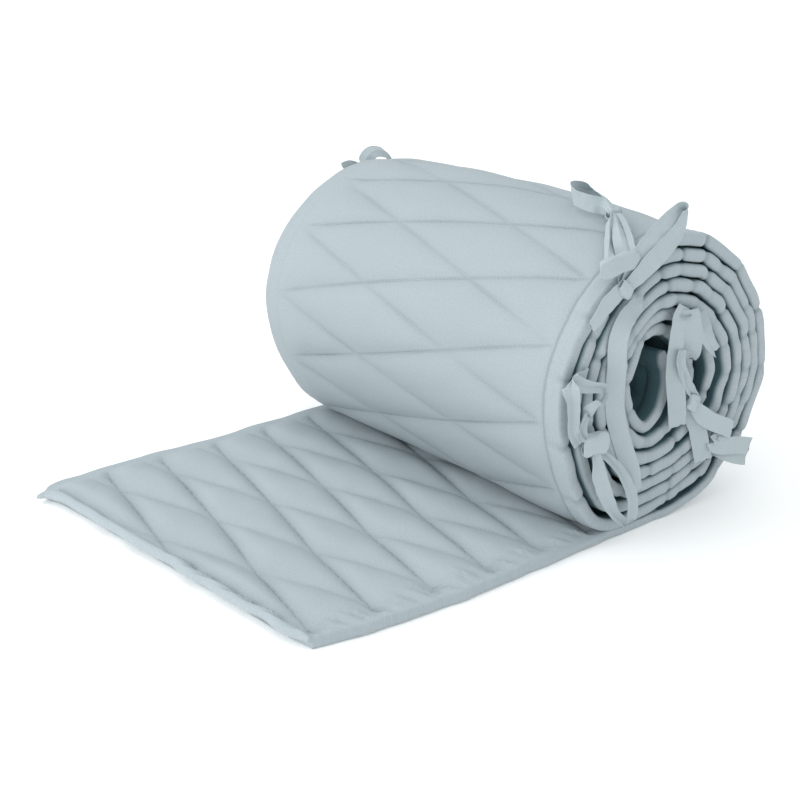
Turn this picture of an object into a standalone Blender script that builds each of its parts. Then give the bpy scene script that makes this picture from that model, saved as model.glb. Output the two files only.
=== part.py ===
"""Crib bumper: one long quilted strip, rolled up from one end, with the ribbon bows sewn into its edges.

The strip is 300 mm high and about 3.16 m long. It runs along +X on the surface z = 0, under the roll, up on
the right, over the top and down on the left, and then inwards for seven turns to a small open eye. The
roll's axis lies along Y. The side that lies on the surface is the outside of the roll.

Lengths are in millimetres up to the last step, where points become metres. The origin is on the surface,
under the middle of the whole.
"""

import math
from typing import NamedTuple

import bmesh
import bpy
import numpy as np
from mathutils import Matrix, Vector

METRE = 0.001

STRIP_WIDTH = 300.0
STRIP_END_X = -199.3
AXIS_X = 101.7
AXIS_Z = 103.05

PUFF_HALF = 4.15
SEAM_HALF = 1.3
EDGE_HALF = 1.5
FLAT_END_SWELL = 1.30
SWELL_FROM_X = 21.0
SWELL_TO_X = -9.0
TURN_CLEARANCE = 0.9

QUILT_PITCH = 44.6
QUILT_STEPS = 4
QUILT_STEP = QUILT_PITCH / QUILT_STEPS
QUILT_ROWS = 3
BORDER = 18.0
END_BORDER = 16.0
PINCH = 0.72

TURNS = 7.25
SAMPLE_ANGLE = math.radians(1.5)
SAMPLE_STEP = 3.0
QUILTED_TURNS = 1.05
PLAIN_INSET = 6.0
LOOSENESS = 0.30
LOOSE_SPREAD = 1.5
LOOSE_DEPTH = 4
LIFT_ANGLE = math.radians(18.0)

EYE_X = -14.0
EYE_Z = -8.5
EYE_HALF_WIDTH = 21.0
EYE_HALF_HEIGHT = 26.5

RIBBON_WIDTH = 12.0
RIBBON_THICK = 1.2
RIBBON_SPANS = 3
KNOT_BEVEL = 0.3
SEAT_GAP = 0.3
ROOT_LENGTH = 2.8
TOP_TURN = 0.59
FAR_TOP_TURN = 0.52
LEFT_TURN = 1.718
CORE_TURN = 5.43


class OutlinePoint(NamedTuple):
    """A point of the roll's outline: its angle in degrees from +X and its distance from the axis."""

    angle: float
    radius: float


OUTLINE = [
    OutlinePoint(-90, 98.9),
    OutlinePoint(-60, 102.6),
    OutlinePoint(-30, 100.9),
    OutlinePoint(0, 95.2),
    OutlinePoint(30, 90.5),
    OutlinePoint(60, 89.7),
    OutlinePoint(90, 90.5),
    OutlinePoint(120, 89.8),
    OutlinePoint(150, 94.1),
    OutlinePoint(180, 101.3),
    OutlinePoint(210, 104.6),
    OutlinePoint(240, 108.4),
    OutlinePoint(255, 102.4),
    OutlinePoint(270, 98.9),
]


class TurnShift(NamedTuple):
    """How far a turn of the roll stands out at the near end, as the roll is not wound quite square."""

    turn: float
    out: float


TURN_SHIFTS = [
    TurnShift(-0.5, 0.0),
    TurnShift(0.0, 0.0),
    TurnShift(1.0, 0.6),
    TurnShift(2.0, 2.2),
    TurnShift(3.0, 3.6),
    TurnShift(4.0, 4.6),
    TurnShift(5.0, 3.2),
    TurnShift(6.0, 1.0),
    TurnShift(TURNS, -1.5),
]


class BorderPoint(NamedTuple):
    """Half thickness of the strip at a distance from its edge, as far as the border's seam."""

    inset: float
    half: float


BORDER_PROFILE = [
    BorderPoint(0.0, EDGE_HALF),
    BorderPoint(4.0, 3.3),
    BorderPoint(10.0, 4.0),
    BorderPoint(BORDER, SEAM_HALF),
]


class Spot(NamedTuple):
    """A point on a ribbon's middle line, from the roll's axis and out from the strip's edge, and the
    direction of the ribbon's width there, with its width as a share of the full one."""

    x: float
    z: float
    out: float
    wide_x: float
    wide_z: float
    wide_out: float
    share: float = 1.0


class Knot(NamedTuple):
    """A folded knot: its middle, its three sizes, and how far its length is turned up from +X."""

    x: float
    z: float
    out: float
    length: float
    height: float
    depth: float
    turn: float


class Bow(NamedTuple):
    """A tie: the turn at which it is sewn, its knots, the ribbon from its root, and its other ribbons."""

    turn: float
    knots: list[Knot]
    root: list[Spot]
    ribbons: list[list[Spot]]


def clear_scene() -> None:
    """Remove every object of the scene."""
    for item in list(bpy.data.objects):
        bpy.data.objects.remove(item, do_unlink=True)


def cloth_material(name: str, colour: tuple[float, float, float], roughness: float) -> bpy.types.Material:
    """Return a plain cotton material."""
    material = bpy.data.materials.new(name)
    material.use_nodes = True
    shader = material.node_tree.nodes["Principled BSDF"]
    shader.inputs["Base Color"].default_value = (*colour, 1.0)
    shader.inputs["Roughness"].default_value = roughness
    shader.inputs["Metallic"].default_value = 0.0
    return material


def smooth_value(knots: np.ndarray, values: np.ndarray, at: np.ndarray) -> np.ndarray:
    """Return a smooth curve through the knots, level with their neighbours' slope."""
    slopes = np.gradient(values, knots, axis=0)
    span = np.clip(np.searchsorted(knots, at, side="right") - 1, 0, len(knots) - 2)
    width = knots[span + 1] - knots[span]
    t = (at - knots[span]) / width
    if values.ndim > 1:
        t, width = t[:, None], width[:, None]
    start = (1 + 2 * t) * (1 - t) ** 2 * values[span] + t * (1 - t) ** 2 * width * slopes[span]
    end = t ** 2 * (3 - 2 * t) * values[span + 1] + t ** 2 * (t - 1) * width * slopes[span + 1]
    return start + end


def ramp(value: np.ndarray, low: float, high: float) -> np.ndarray:
    """Return a smooth step from 0 at low to 1 at high."""
    t = np.clip((value - low) / (high - low), 0.0, 1.0)
    return t * t * (3 - 2 * t)


def turn_shift(turn: np.ndarray) -> np.ndarray:
    """Return how far the strip stands out at the near end after some turns."""
    turns = np.array([row.turn for row in TURN_SHIFTS])
    outs = np.array([row.out for row in TURN_SHIFTS])
    return smooth_value(turns, outs, np.clip(turn, turns[0], turns[-1]))


def outline_radius(angle: np.ndarray) -> np.ndarray:
    """Return the radius of the full outline at an angle from -90 to 270 degrees, closed on itself."""
    angles = np.array([row.angle for row in OUTLINE], float)
    radii = np.array([row.radius for row in OUTLINE], float)
    angles = np.concatenate([angles[-3:-1] - 360.0, angles, angles[1:3] + 360.0])
    radii = np.concatenate([radii[-3:-1], radii, radii[1:3]])
    return smooth_value(angles, radii, angle)


def roll_points(wound: np.ndarray) -> np.ndarray:
    """Return points of the strip's middle line for the angles it has been wound through."""
    angle = wound - math.pi / 2
    turn_angle = np.mod(np.degrees(angle) + 90.0, 360.0) - 90.0
    radius = outline_radius(turn_angle)
    across, up = np.cos(angle), np.sin(angle)
    outer = np.stack([radius * across, radius * up], axis=1)
    core = np.stack([EYE_X + EYE_HALF_WIDTH * across, EYE_Z + EYE_HALF_HEIGHT * up], axis=1)
    share = wound / (2 * math.pi * TURNS)
    loose = LOOSENESS * np.clip(across, 0.0, None) ** LOOSE_SPREAD
    inward = share * (1 - loose) + loose * share ** LOOSE_DEPTH
    points = outer + (core - outer) * inward[:, None]
    return points + np.array([AXIS_X, AXIS_Z])


class StripPath:
    """The strip's middle line in the plane across the roll's axis, by distance from its flat end."""

    def __init__(self) -> None:
        """Sample the flat run and the winding, and measure the room between the turns."""
        wound = np.arange(0.0, 2 * math.pi * TURNS + SAMPLE_ANGLE / 2, SAMPLE_ANGLE)
        roll = roll_points(wound)
        flat_x = np.arange(STRIP_END_X, roll[0, 0] - SAMPLE_STEP / 2, SAMPLE_STEP)
        flat = np.stack([flat_x, np.full_like(flat_x, roll[0, 1])], axis=1)
        self.points = np.concatenate([flat, roll])
        flat_wound = (flat_x - roll[0, 0]) / outline_radius(np.array([-90.0]))[0]
        self.wound = np.concatenate([flat_wound, wound])
        steps = np.linalg.norm(np.diff(self.points, axis=0), axis=1)
        self.distance = np.concatenate([[0.0], np.cumsum(steps)])
        self.length = self.distance[-1]
        tangent = np.gradient(self.points, self.distance, axis=0)
        tangent /= np.linalg.norm(tangent, axis=1)[:, None]
        self.inward = np.stack([-tangent[:, 1], tangent[:, 0]], axis=1)
        self.room = self._room_between_turns()

    def _room_between_turns(self) -> np.ndarray:
        """Return each sample's distance to the nearest other turn."""
        apart = np.linalg.norm(self.points[:, None, :] - self.points[None, :, :], axis=2)
        same_turn = np.abs(self.wound[:, None] - self.wound[None, :]) < math.pi
        apart[same_turn] = np.inf
        return apart.min(axis=1)

    def at(self, distance: np.ndarray) -> tuple[np.ndarray, np.ndarray, np.ndarray, np.ndarray]:
        """Return the middle points, inward directions, wound angles and half rooms at some distances."""
        point = np.stack([np.interp(distance, self.distance, self.points[:, k]) for k in range(2)], axis=1)
        inward = np.stack([np.interp(distance, self.distance, self.inward[:, k]) for k in range(2)], axis=1)
        inward /= np.linalg.norm(inward, axis=1)[:, None]
        wound = np.interp(distance, self.distance, self.wound)
        room = np.interp(distance, self.distance, self.room)
        return point, inward, wound, (room - TURN_CLEARANCE) / 2


class Column(NamedTuple):
    """A line of points along the strip: its distance from the near edge, and its quilting half row."""

    across: float
    half_row: int | None


def quilted_columns() -> list[Column]:
    """Return the columns where the diamonds show: a border at each edge, and half rows between."""
    border = [Column(row.inset, None) for row in BORDER_PROFILE[:-1]]
    half_row = (STRIP_WIDTH - 2 * BORDER) / (2 * QUILT_ROWS)
    middle = [Column(BORDER + half_row * k, k) for k in range(2 * QUILT_ROWS + 1)]
    far = [Column(STRIP_WIDTH - column.across, None) for column in reversed(border)]
    return border + middle + far


def plain_columns() -> list[Column]:
    """Return the columns of the inner turns, where only the edges show."""
    near = [Column(0.0, None), Column(PLAIN_INSET, None)]
    return near + [Column(STRIP_WIDTH - column.across, None) for column in reversed(near)]


def border_half(inset: float) -> float:
    """Return the half thickness of the border at a distance from the edge."""
    insets = [row.inset for row in BORDER_PROFILE]
    halves = [row.half for row in BORDER_PROFILE]
    return float(np.interp(inset, insets, halves))


def diamond_swell(step: int, half_row: int) -> float:
    """Return how full a diamond is at a lattice point: 0 on a sewn line, 1 in a diamond's middle."""
    def from_line(index: int) -> float:
        place = index % QUILT_STEPS
        return min(place, QUILT_STEPS - place) / (QUILT_STEPS / 2)
    return math.sqrt(min(from_line(step + half_row), from_line(step - half_row)))


class Station(NamedTuple):
    """A line across the strip: its distance along it, its quilting step, and its columns."""

    distance: float
    step: int | None
    columns: list[Column]


def strip_stations(path: StripPath) -> list[Station]:
    """Return the lines across the strip from its flat end to its end in the roll."""
    quilted, plain = quilted_columns(), plain_columns()
    end_scale = END_BORDER / BORDER
    stations = [Station(row.inset * end_scale, None, quilted) for row in BORDER_PROFILE[:-1]]
    quilted_end = np.interp(2 * math.pi * QUILTED_TURNS, path.wound, path.distance)
    count = int((path.length - 2 * END_BORDER) / QUILT_STEP)
    for step in range(count + 1):
        distance = END_BORDER + step * QUILT_STEP
        stations.append(Station(distance, step, quilted if distance < quilted_end else plain))
    last = stations[-1].distance
    for row in reversed(BORDER_PROFILE[:-1]):
        stations.append(Station(last + END_BORDER - row.inset * end_scale, None, plain))
    return stations


def half_thickness(station: Station, column: Column, from_end: float) -> float:
    """Return the strip's half thickness at one point of its mesh."""
    inset = min(column.across, STRIP_WIDTH - column.across)
    end_inset = from_end * BORDER / END_BORDER
    edge = border_half(min(inset, end_inset, BORDER))
    if station.step is None:
        return edge
    if column.half_row is None:
        seam_at = 0 if column.across < STRIP_WIDTH / 2 else QUILT_STEPS // 2
        pinched = station.step % QUILT_STEPS == seam_at
        return edge * (PINCH if pinched and inset > 0 else 1.0)
    return SEAM_HALF + (PUFF_HALF - SEAM_HALF) * diamond_swell(station.step, column.half_row)


def build_bumper(material: bpy.types.Material) -> bpy.types.Object:
    """Build the whole quilted strip, flat end and roll, as one closed solid."""
    path = StripPath()
    stations = strip_stations(path)
    distances = np.array([station.distance for station in stations])
    points, inwards, wounds, rooms = path.at(distances)
    shifts = turn_shift(wounds / (2 * math.pi))
    mesh = bmesh.new()
    sides: list[tuple[list, list]] = []
    for index, station in enumerate(stations):
        point, inward = points[index], inwards[index]
        from_end = min(station.distance, distances[-1] - station.distance)
        swell = 1.0 + (FLAT_END_SWELL - 1.0) * float(ramp(point[0], SWELL_FROM_X, SWELL_TO_X))
        if wounds[index] > 0:
            swell = 1.0
        lying = 1.0 - float(ramp(wounds[index], 0.0, LIFT_ANGLE))
        inner, outer = [], []
        for column in station.columns:
            half = swell * half_thickness(station, column, from_end)
            half = min(half, rooms[index])
            inset = min(column.across, STRIP_WIDTH - column.across, from_end)
            floor = PUFF_HALF if inset > 0 else EDGE_HALF
            below = half + (floor - half) * lying
            above = 2 * half - below if inset > 0 else half
            y = column.across - STRIP_WIDTH / 2 - shifts[index]
            for offset, row in ((above, inner), (-below, outer)):
                place = point + inward * offset
                row.append(mesh.verts.new((place[0] * METRE, y * METRE, place[1] * METRE)))
        sides.append((inner, outer))
    for index in range(len(stations) - 1):
        step = stations[index].step
        join_rows(mesh, sides[index][0], sides[index + 1][0], step, stations[index].columns, True)
        join_rows(mesh, sides[index][1], sides[index + 1][1], step, stations[index].columns, False)
        for end in (0, -1):
            inner, outer = sides[index]
            next_inner, next_outer = sides[index + 1]
            wall = [outer[end], next_outer[end], next_inner[end], inner[end]]
            mesh.faces.new(wall if end == 0 else wall[::-1])
    for inner, outer in (sides[0], tuple(side[::-1] for side in sides[-1])):
        for k in range(len(inner) - 1):
            mesh.faces.new([inner[k], inner[k + 1], outer[k + 1], outer[k]])
    bmesh.ops.triangulate(mesh, faces=[face for face in mesh.faces if len(face.verts) > 3])
    return finish_object("bumper", mesh, material)


def join_rows(mesh: bmesh.types.BMesh, row: list, following: list, step: int | None,
              columns: list[Column], inner: bool) -> None:
    """Fill the surface between two lines across the strip, with edges along the sewn lines."""
    if len(row) != len(following):
        zip_rows(mesh, row, following, inner)
        return
    for k in range(len(row) - 1):
        a, b, c, d = row[k], following[k], following[k + 1], row[k + 1]
        half_row = columns[k].half_row
        rising = half_row is not None and step is not None and (step - half_row) % QUILT_STEPS == 0
        triangles = [(a, b, c), (a, c, d)] if rising else [(a, b, d), (b, c, d)]
        for triangle in triangles:
            mesh.faces.new(triangle if inner else triangle[::-1])


def zip_rows(mesh: bmesh.types.BMesh, row: list, following: list, inner: bool) -> None:
    """Fill between two lines with different numbers of points, always taking the nearer next point."""
    i = j = 0
    while i < len(row) - 1 or j < len(following) - 1:
        step_row = j == len(following) - 1 or (
            i < len(row) - 1 and row[i + 1].co.y <= following[j + 1].co.y)
        if step_row:
            triangle = (row[i], following[j], row[i + 1])
            i += 1
        else:
            triangle = (row[i], following[j], following[j + 1])
            j += 1
        mesh.faces.new(triangle if inner else triangle[::-1])


def finish_object(name: str, mesh: bmesh.types.BMesh, material: bpy.types.Material) -> bpy.types.Object:
    """Turn a mesh into a named object with its material."""
    data = bpy.data.meshes.new(name)
    mesh.to_mesh(data)
    mesh.free()
    data.materials.append(material)
    item = bpy.data.objects.new(name, data)
    bpy.context.scene.collection.objects.link(item)
    return item


def ribbon_mesh(spots: list[Spot]) -> bmesh.types.BMesh:
    """Sweep a flat ribbon through its spots, as a closed solid with square ends."""
    table = np.array(spots, float)
    knots = np.arange(len(spots), dtype=float)
    at = np.linspace(0, len(spots) - 1, (len(spots) - 1) * RIBBON_SPANS + 1)
    rows = smooth_value(knots, table, at)
    centres = [Vector((row[0], -row[2], row[1])) for row in rows]
    mesh = bmesh.new()
    rings = []
    for index, row in enumerate(rows):
        before, after = centres[max(index - 1, 0)], centres[min(index + 1, len(rows) - 1)]
        along = (after - before).normalized()
        wide = Vector((row[3], -row[5], row[4]))
        wide = (wide - along * wide.dot(along)).normalized()
        thick = along.cross(wide) * RIBBON_THICK / 2
        wide = wide * RIBBON_WIDTH * row[6] / 2
        corners = [wide + thick, thick - wide, -wide - thick, wide - thick]
        rings.append([mesh.verts.new(centres[index] + corner) for corner in corners])
    for ring, following in zip(rings, rings[1:]):
        for k in range(4):
            mesh.faces.new([ring[k], ring[(k + 1) % 4], following[(k + 1) % 4], following[k]])
    mesh.faces.new(rings[0][::-1])
    mesh.faces.new(rings[-1])
    bmesh.ops.recalc_face_normals(mesh, faces=mesh.faces)
    bmesh.ops.triangulate(mesh, faces=mesh.faces)
    return mesh


def knot_mesh(knot: Knot) -> bmesh.types.BMesh:
    """Return the knot as a small pillow with bevelled edges."""
    mesh = bmesh.new()
    bmesh.ops.create_cube(mesh, size=1.0)
    bmesh.ops.scale(mesh, vec=(knot.length, knot.depth, knot.height), verts=mesh.verts)
    bmesh.ops.bevel(mesh, geom=mesh.edges[:], offset=knot.depth * KNOT_BEVEL, segments=1, affect="EDGES")
    turned = Matrix.Rotation(-math.radians(knot.turn), 4, "Y")
    bmesh.ops.transform(mesh, matrix=turned, verts=mesh.verts)
    bmesh.ops.translate(mesh, vec=(knot.x, -knot.out, knot.z), verts=mesh.verts)
    return mesh


def root_spots(turn: float, far: bool, following: Spot) -> list[Spot]:
    """Return the start of a ribbon sewn into the strip's edge at a turn: straight out of the edge."""
    angle = 2 * math.pi * turn
    nearby = angle + np.array([-SAMPLE_ANGLE, 0.0, SAMPLE_ANGLE])
    before, seat, after = roll_points(nearby) - np.array([AXIS_X, AXIS_Z])
    along = (after - before) / np.linalg.norm(after - before)
    if along @ np.array([following.wide_x, following.wide_z]) < 0:
        along = -along
    shift = float(turn_shift(np.array([turn]))[0])
    edge = -shift if far else shift
    return [Spot(seat[0], seat[1], edge + out, along[0], along[1], 0.0) for out in (SEAT_GAP, ROOT_LENGTH)]


def place_on_edge(mesh: bmesh.types.BMesh, far: bool) -> None:
    """Move a piece from the roll's axis and the near edge to its place, mirrored for the far edge."""
    for vert in mesh.verts:
        x, y, z = vert.co
        y = STRIP_WIDTH / 2 - y if far else y - STRIP_WIDTH / 2
        vert.co = ((x + AXIS_X) * METRE, y * METRE, (z + AXIS_Z) * METRE)
    if far:
        bmesh.ops.reverse_faces(mesh, faces=mesh.faces[:])


def keep_outer_shell(data: bpy.types.Mesh) -> None:
    """Fill the small sealed pockets between joined ribbons: keep only the largest connected surface."""
    mesh = bmesh.new()
    mesh.from_mesh(data)
    unseen = set(mesh.verts)
    shells = []
    while unseen:
        frontier = [unseen.pop()]
        shell = []
        while frontier:
            vert = frontier.pop()
            shell.append(vert)
            for edge in vert.link_edges:
                other = edge.other_vert(vert)
                if other in unseen:
                    unseen.remove(other)
                    frontier.append(other)
        shells.append(shell)
    shells.sort(key=len)
    pockets = [vert for shell in shells[:-1] for vert in shell]
    bmesh.ops.delete(mesh, geom=pockets, context="VERTS")
    mesh.to_mesh(data)
    mesh.free()


def build_tie(name: str, bow: Bow, far: bool, material: bpy.types.Material) -> bpy.types.Object:
    """Build one bow as one solid: its knots joined with its loops, tails and sewn root."""
    stub = root_spots(bow.turn, far, bow.root[0])
    ribbons = [stub, [stub[-1]] + bow.root] + bow.ribbons
    pieces = [knot_mesh(knot) for knot in bow.knots] + [ribbon_mesh(spots) for spots in ribbons]
    parts = []
    for index, mesh in enumerate(pieces):
        place_on_edge(mesh, far)
        parts.append(finish_object(f"{name}.{index}", mesh, material))
    whole = parts[0]
    for other in parts[1:]:
        join = whole.modifiers.new("join", "BOOLEAN")
        join.operation = "UNION"
        join.solver = "MANIFOLD"
        join.object = other
    bpy.context.view_layer.update()
    evaluated = whole.evaluated_get(bpy.context.evaluated_depsgraph_get())
    data = bpy.data.meshes.new_from_object(evaluated)
    data.name = name
    keep_outer_shell(data)
    for part in parts:
        bpy.data.objects.remove(part, do_unlink=True)
    item = bpy.data.objects.new(name, data)
    bpy.context.scene.collection.objects.link(item)
    return item


TOP_KNOTS = [
    Knot(-54.0, 82.0, 5.4, 25, 10, 8, -8),
    Knot(-16.5, 97.5, -40.0, 9, 8, 8, 0),
]

TOP_ROOT = [
    Spot(-50.5, 74.5, 5.0, 0.85, 0.53, 0.0),
    Spot(-53.5, 80.0, 5.4, 0.85, 0.53, 0.0),
]

TOP_RIBBONS = [
    [
        Spot(-60.0, 84.5, 4.5, 0.4, -0.5, 0.5, 0.7),
        Spot(-53.5, 88.0, -8.0, 0.1, 1.0, 0.0, 0.5),
        Spot(-40.0, 92.0, -20.0, 0.1, 1.0, 0.0, 0.5),
        Spot(-27.0, 94.5, -32.0, 0.1, 1.0, 0.0, 0.5),
        Spot(-17.0, 97.5, -40.0, 0.1, 1.0, 0.0, 0.5),
    ],
    [
        Spot(-46.0, 83.0, 4.0, 0.85, 0.5, 0.0),
        Spot(-41.0, 87.0, -6.0, 0.85, 0.5, 0.0),
        Spot(-30.0, 91.5, -18.0, 0.85, 0.5, 0.0, 0.8),
        Spot(-16.5, 97.0, -39.0, 0.6, 0.8, 0.0, 0.5),
    ],
    [
        Spot(-17.0, 98.0, -41.0, -0.3, 1.0, 0.0, 0.6),
        Spot(-26.5, 104.0, -54.0, -0.3, 1.0, 0.0),
        Spot(-30.0, 106.0, -65.0, -0.3, 1.0, 0.0),
        Spot(-26.5, 109.0, -68.0, -0.3, 1.0, 0.0),
        Spot(-17.0, 109.0, -59.0, -0.3, 1.0, 0.0),
        Spot(-15.0, 99.0, -42.0, -0.3, 1.0, 0.0, 0.6),
    ],
    [
        Spot(-44.0, 78.0, 6.0, -0.5, 0.85, 0.0, 0.8),
        Spot(-27.0, 92.0, 6.5, -0.5, 0.85, 0.0),
        Spot(-14.0, 101.0, 6.5, -0.5, 0.85, 0.0),
        Spot(-5.0, 107.0, 7.0, -0.5, 0.85, 0.1),
        Spot(-1.5, 104.0, 9.5, -0.5, 0.8, 0.3, 0.8),
        Spot(-11.0, 95.5, 12.0, -0.5, 0.85, 0.0, 0.8),
        Spot(-23.0, 87.0, 12.5, -0.5, 0.85, 0.0, 0.8),
        Spot(-37.0, 79.0, 12.0, -0.4, 0.9, 0.0, 0.8),
        Spot(-48.0, 79.0, 7.0, -0.3, 0.95, 0.0, 0.8),
    ],
    [
        Spot(-52.0, 80.0, 7.0, 0.9, 0.4, 0.0, 0.8),
        Spot(-57.0, 71.0, 9.0, 0.7, -0.6, 0.0),
        Spot(-71.0, 62.5, 9.5, 0.5, -0.85, 0.0),
        Spot(-83.0, 51.5, 9.5, 0.6, -0.8, 0.0),
    ],
]

LEFT_KNOTS = [Knot(-77.5, -26.0, 9.5, 22, 15, 7, -5)]

LEFT_ROOT = [
    Spot(-88.5, 14.6, 7.0, 0.0, 1.0, 0.1),
    Spot(-93.0, 11.5, 7.5, 0.0, 0.9, 0.4, 0.8),
    Spot(-95.0, 0.0, 8.0, 0.5, 0.0, 0.85, 0.6),
    Spot(-95.0, -13.0, 9.0, 0.5, 0.0, 0.85, 0.6),
    Spot(-89.0, -24.0, 9.5, 0.4, 0.3, 0.8, 0.6),
    Spot(-80.0, -26.5, 9.2, 0.3, 0.7, 0.6, 0.6),
]

LEFT_RIBBONS = [
    [
        Spot(-90.0, 13.0, 8.0, 0.2, 0.95, 0.2, 0.8),
        Spot(-81.0, 11.0, 9.0, 0.2, 0.95, 0.2, 0.7),
        Spot(-71.0, 7.5, 11.0, 0.3, 0.8, 0.4, 0.5),
        Spot(-68.5, 3.5, 11.5, 0.8, 0.3, 0.4, 0.4),
        Spot(-72.5, 0.0, 12.0, 0.8, -0.3, 0.4, 0.5),
        Spot(-80.0, -3.5, 12.0, 0.6, -0.7, 0.2, 0.8),
        Spot(-87.0, -10.0, 11.5, 0.9, 0.0, 0.4, 0.6),
        Spot(-84.0, -22.0, 10.5, 0.9, 0.4, 0.4, 0.6),
    ],
    [
        Spot(-77.0, -29.0, 9.5, 1.0, 0.1, 0.0, 0.5),
        Spot(-73.5, -43.5, 10.5, 1.0, 0.1, 0.0),
        Spot(-71.0, -56.5, 10.5, 0.9, 0.3, 0.2),
        Spot(-65.0, -70.0, 10.0, 0.8, 0.5, 0.2, 0.8),
        Spot(-55.0, -83.0, 9.5, 0.6, 0.7, 0.2, 0.6),
        Spot(-46.5, -90.0, 9.0, 0.5, 0.8, 0.2, 0.5),
    ],
    [
        Spot(-71.0, -31.0, 9.5, 0.6, 0.7, 0.2, 0.5),
        Spot(-61.5, -43.0, 10.5, 0.6, 0.7, 0.2, 0.5),
        Spot(-51.5, -54.5, 10.5, 0.8, 0.5, 0.2, 0.5),
        Spot(-43.5, -67.5, 10.5, 0.9, 0.4, 0.0, 0.6),
        Spot(-40.5, -78.5, 10.5, 1.0, 0.1, 0.0, 0.7),
        Spot(-40.0, -90.0, 10.0, 1.0, -0.1, 0.0, 0.7),
    ],
    [
        Spot(-74.0, -24.0, 8.3, 0.5, 0.8, 0.0, 0.8),
        Spot(-62.5, -18.0, 8.0, 0.8, 0.6, 0.0, 0.9),
        Spot(-51.5, -33.0, 8.0, 0.9, 0.45, 0.0),
        Spot(-41.5, -52.5, 8.5, 0.9, 0.45, 0.0),
        Spot(-34.0, -72.0, 8.5, 0.9, 0.35, 0.0),
    ],
]

CORE_KNOTS = [Knot(16.5, -23.5, 9.5, 13, 10, 7, -20)]

CORE_ROOT = [
    Spot(8.0, 37.0, 8.0, 0.9, -0.3, 0.0),
    Spot(10.5, 35.0, 10.0, 0.9, 0.3, 0.0),
    Spot(14.0, 22.5, 10.5, 0.9, 0.5, 0.0),
    Spot(22.0, 15.0, 10.5, 0.7, 0.7, 0.0),
    Spot(32.5, 9.0, 10.5, 0.6, 0.8, 0.0, 0.5),
]

CORE_RIBBONS = [
    [
        Spot(8.0, 37.5, 9.5, 0.6, 0.8, 0.0, 0.8),
        Spot(-1.0, 38.0, 9.0, 0.8, 0.5, 0.0),
        Spot(-4.5, 20.5, 9.0, 1.0, 0.0, 0.0),
        Spot(-3.5, 8.0, 9.0, 1.0, 0.0, 0.0),
        Spot(0.0, -6.0, 9.0, 1.0, 0.2, 0.0),
    ],
    [
        Spot(12.0, 23.0, 12.0, 0.8, 0.0, 0.6, 0.6),
        Spot(8.5, 12.0, 12.5, 0.8, 0.0, 0.6, 0.6),
        Spot(10.0, 0.0, 12.0, 1.0, 0.0, 0.3, 0.6),
        Spot(14.0, -16.0, 10.5, 1.0, 0.0, 0.3, 0.6),
        Spot(16.5, -22.0, 10.0, 1.0, 0.0, 0.3, 0.6),
    ],
    [
        Spot(-3.0, 13.0, 10.0, 0.9, 0.4, 0.0, 0.6),
        Spot(1.5, 2.5, 10.5, 0.9, 0.4, 0.0, 0.6),
        Spot(10.0, -13.0, 10.5, 0.8, 0.5, 0.0, 0.6),
        Spot(15.0, -22.0, 10.0, 0.8, 0.5, 0.0, 0.6),
    ],
    [
        Spot(11.0, 38.0, 9.5, 0.3, 0.9, 0.2, 0.7),
        Spot(20.0, 36.0, 8.5, 0.3, 0.5, 0.8, 0.4),
        Spot(31.0, 24.5, 8.5, 0.5, 0.4, 0.8, 0.4),
        Spot(42.0, 9.5, 9.0, 0.8, 0.3, 0.5, 0.5),
        Spot(34.0, 0.0, 10.0, 0.9, 0.4, 0.0),
        Spot(27.0, -13.5, 10.0, 0.9, -0.3, 0.0, 0.9),
        Spot(19.0, -23.0, 9.5, 0.8, -0.5, 0.0, 0.7),
    ],
    [
        Spot(13.0, -25.0, 9.5, 0.9, 0.35, 0.0),
        Spot(17.0, -43.0, 9.5, 0.9, 0.35, 0.0),
        Spot(26.5, -63.0, 9.5, 0.9, 0.35, 0.0, 0.9),
    ],
    [
        Spot(18.0, -27.0, 10.5, 0.3, 0.9, 0.0),
        Spot(33.5, -39.0, 13.0, 0.3, 0.95, 0.0),
        Spot(49.0, -46.5, 12.5, 0.3, 0.95, 0.0),
        Spot(38.0, -54.5, 13.5, 0.3, 0.95, 0.0, 0.8),
        Spot(52.0, -60.0, 11.5, 0.3, 0.95, 0.0),
        Spot(74.0, -71.0, 11.0, 0.3, 0.95, 0.0),
    ],
]

FAR_TOP_KNOTS = [Knot(-10.0, 95.5, 4.6, 16, 7, 8, 5)]

FAR_TOP_ROOT = [
    Spot(-10.0, 90.0, 4.4, 1.0, 0.05, 0.0),
    Spot(-10.0, 95.0, 4.4, 1.0, 0.05, 0.0),
]

FAR_TOP_RIBBONS = [
    [
        Spot(-9.0, 95.5, 4.0, 0.2, 0.4, 0.9, 0.7),
        Spot(0.0, 98.0, 3.0, 0.2, 0.3, 0.9, 0.8),
        Spot(10.0, 98.5, 2.0, 0.1, 0.3, 0.9, 0.8),
        Spot(17.0, 94.5, 5.5, 0.1, 0.3, 0.9, 0.6),
        Spot(10.0, 90.0, 7.0, 0.1, 0.3, 0.9, 0.6),
        Spot(-7.0, 93.5, 5.5, 0.2, 0.4, 0.9, 0.6),
    ],
    [
        Spot(-13.0, 95.0, 4.0, 0.2, 0.4, 0.9, 0.7),
        Spot(-24.0, 93.0, 3.0, 0.1, 0.8, 0.5, 0.6),
        Spot(-32.0, 89.5, 4.0, 0.1, 0.8, 0.5, 0.7),
    ],
    [
        Spot(-9.0, 94.0, 6.0, 1.0, 0.1, 0.0, 0.8),
        Spot(-7.0, 82.0, 8.0, 1.0, 0.2, 0.0),
        Spot(-3.0, 66.0, 8.5, 1.0, 0.3, 0.0),
    ],
]


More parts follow.
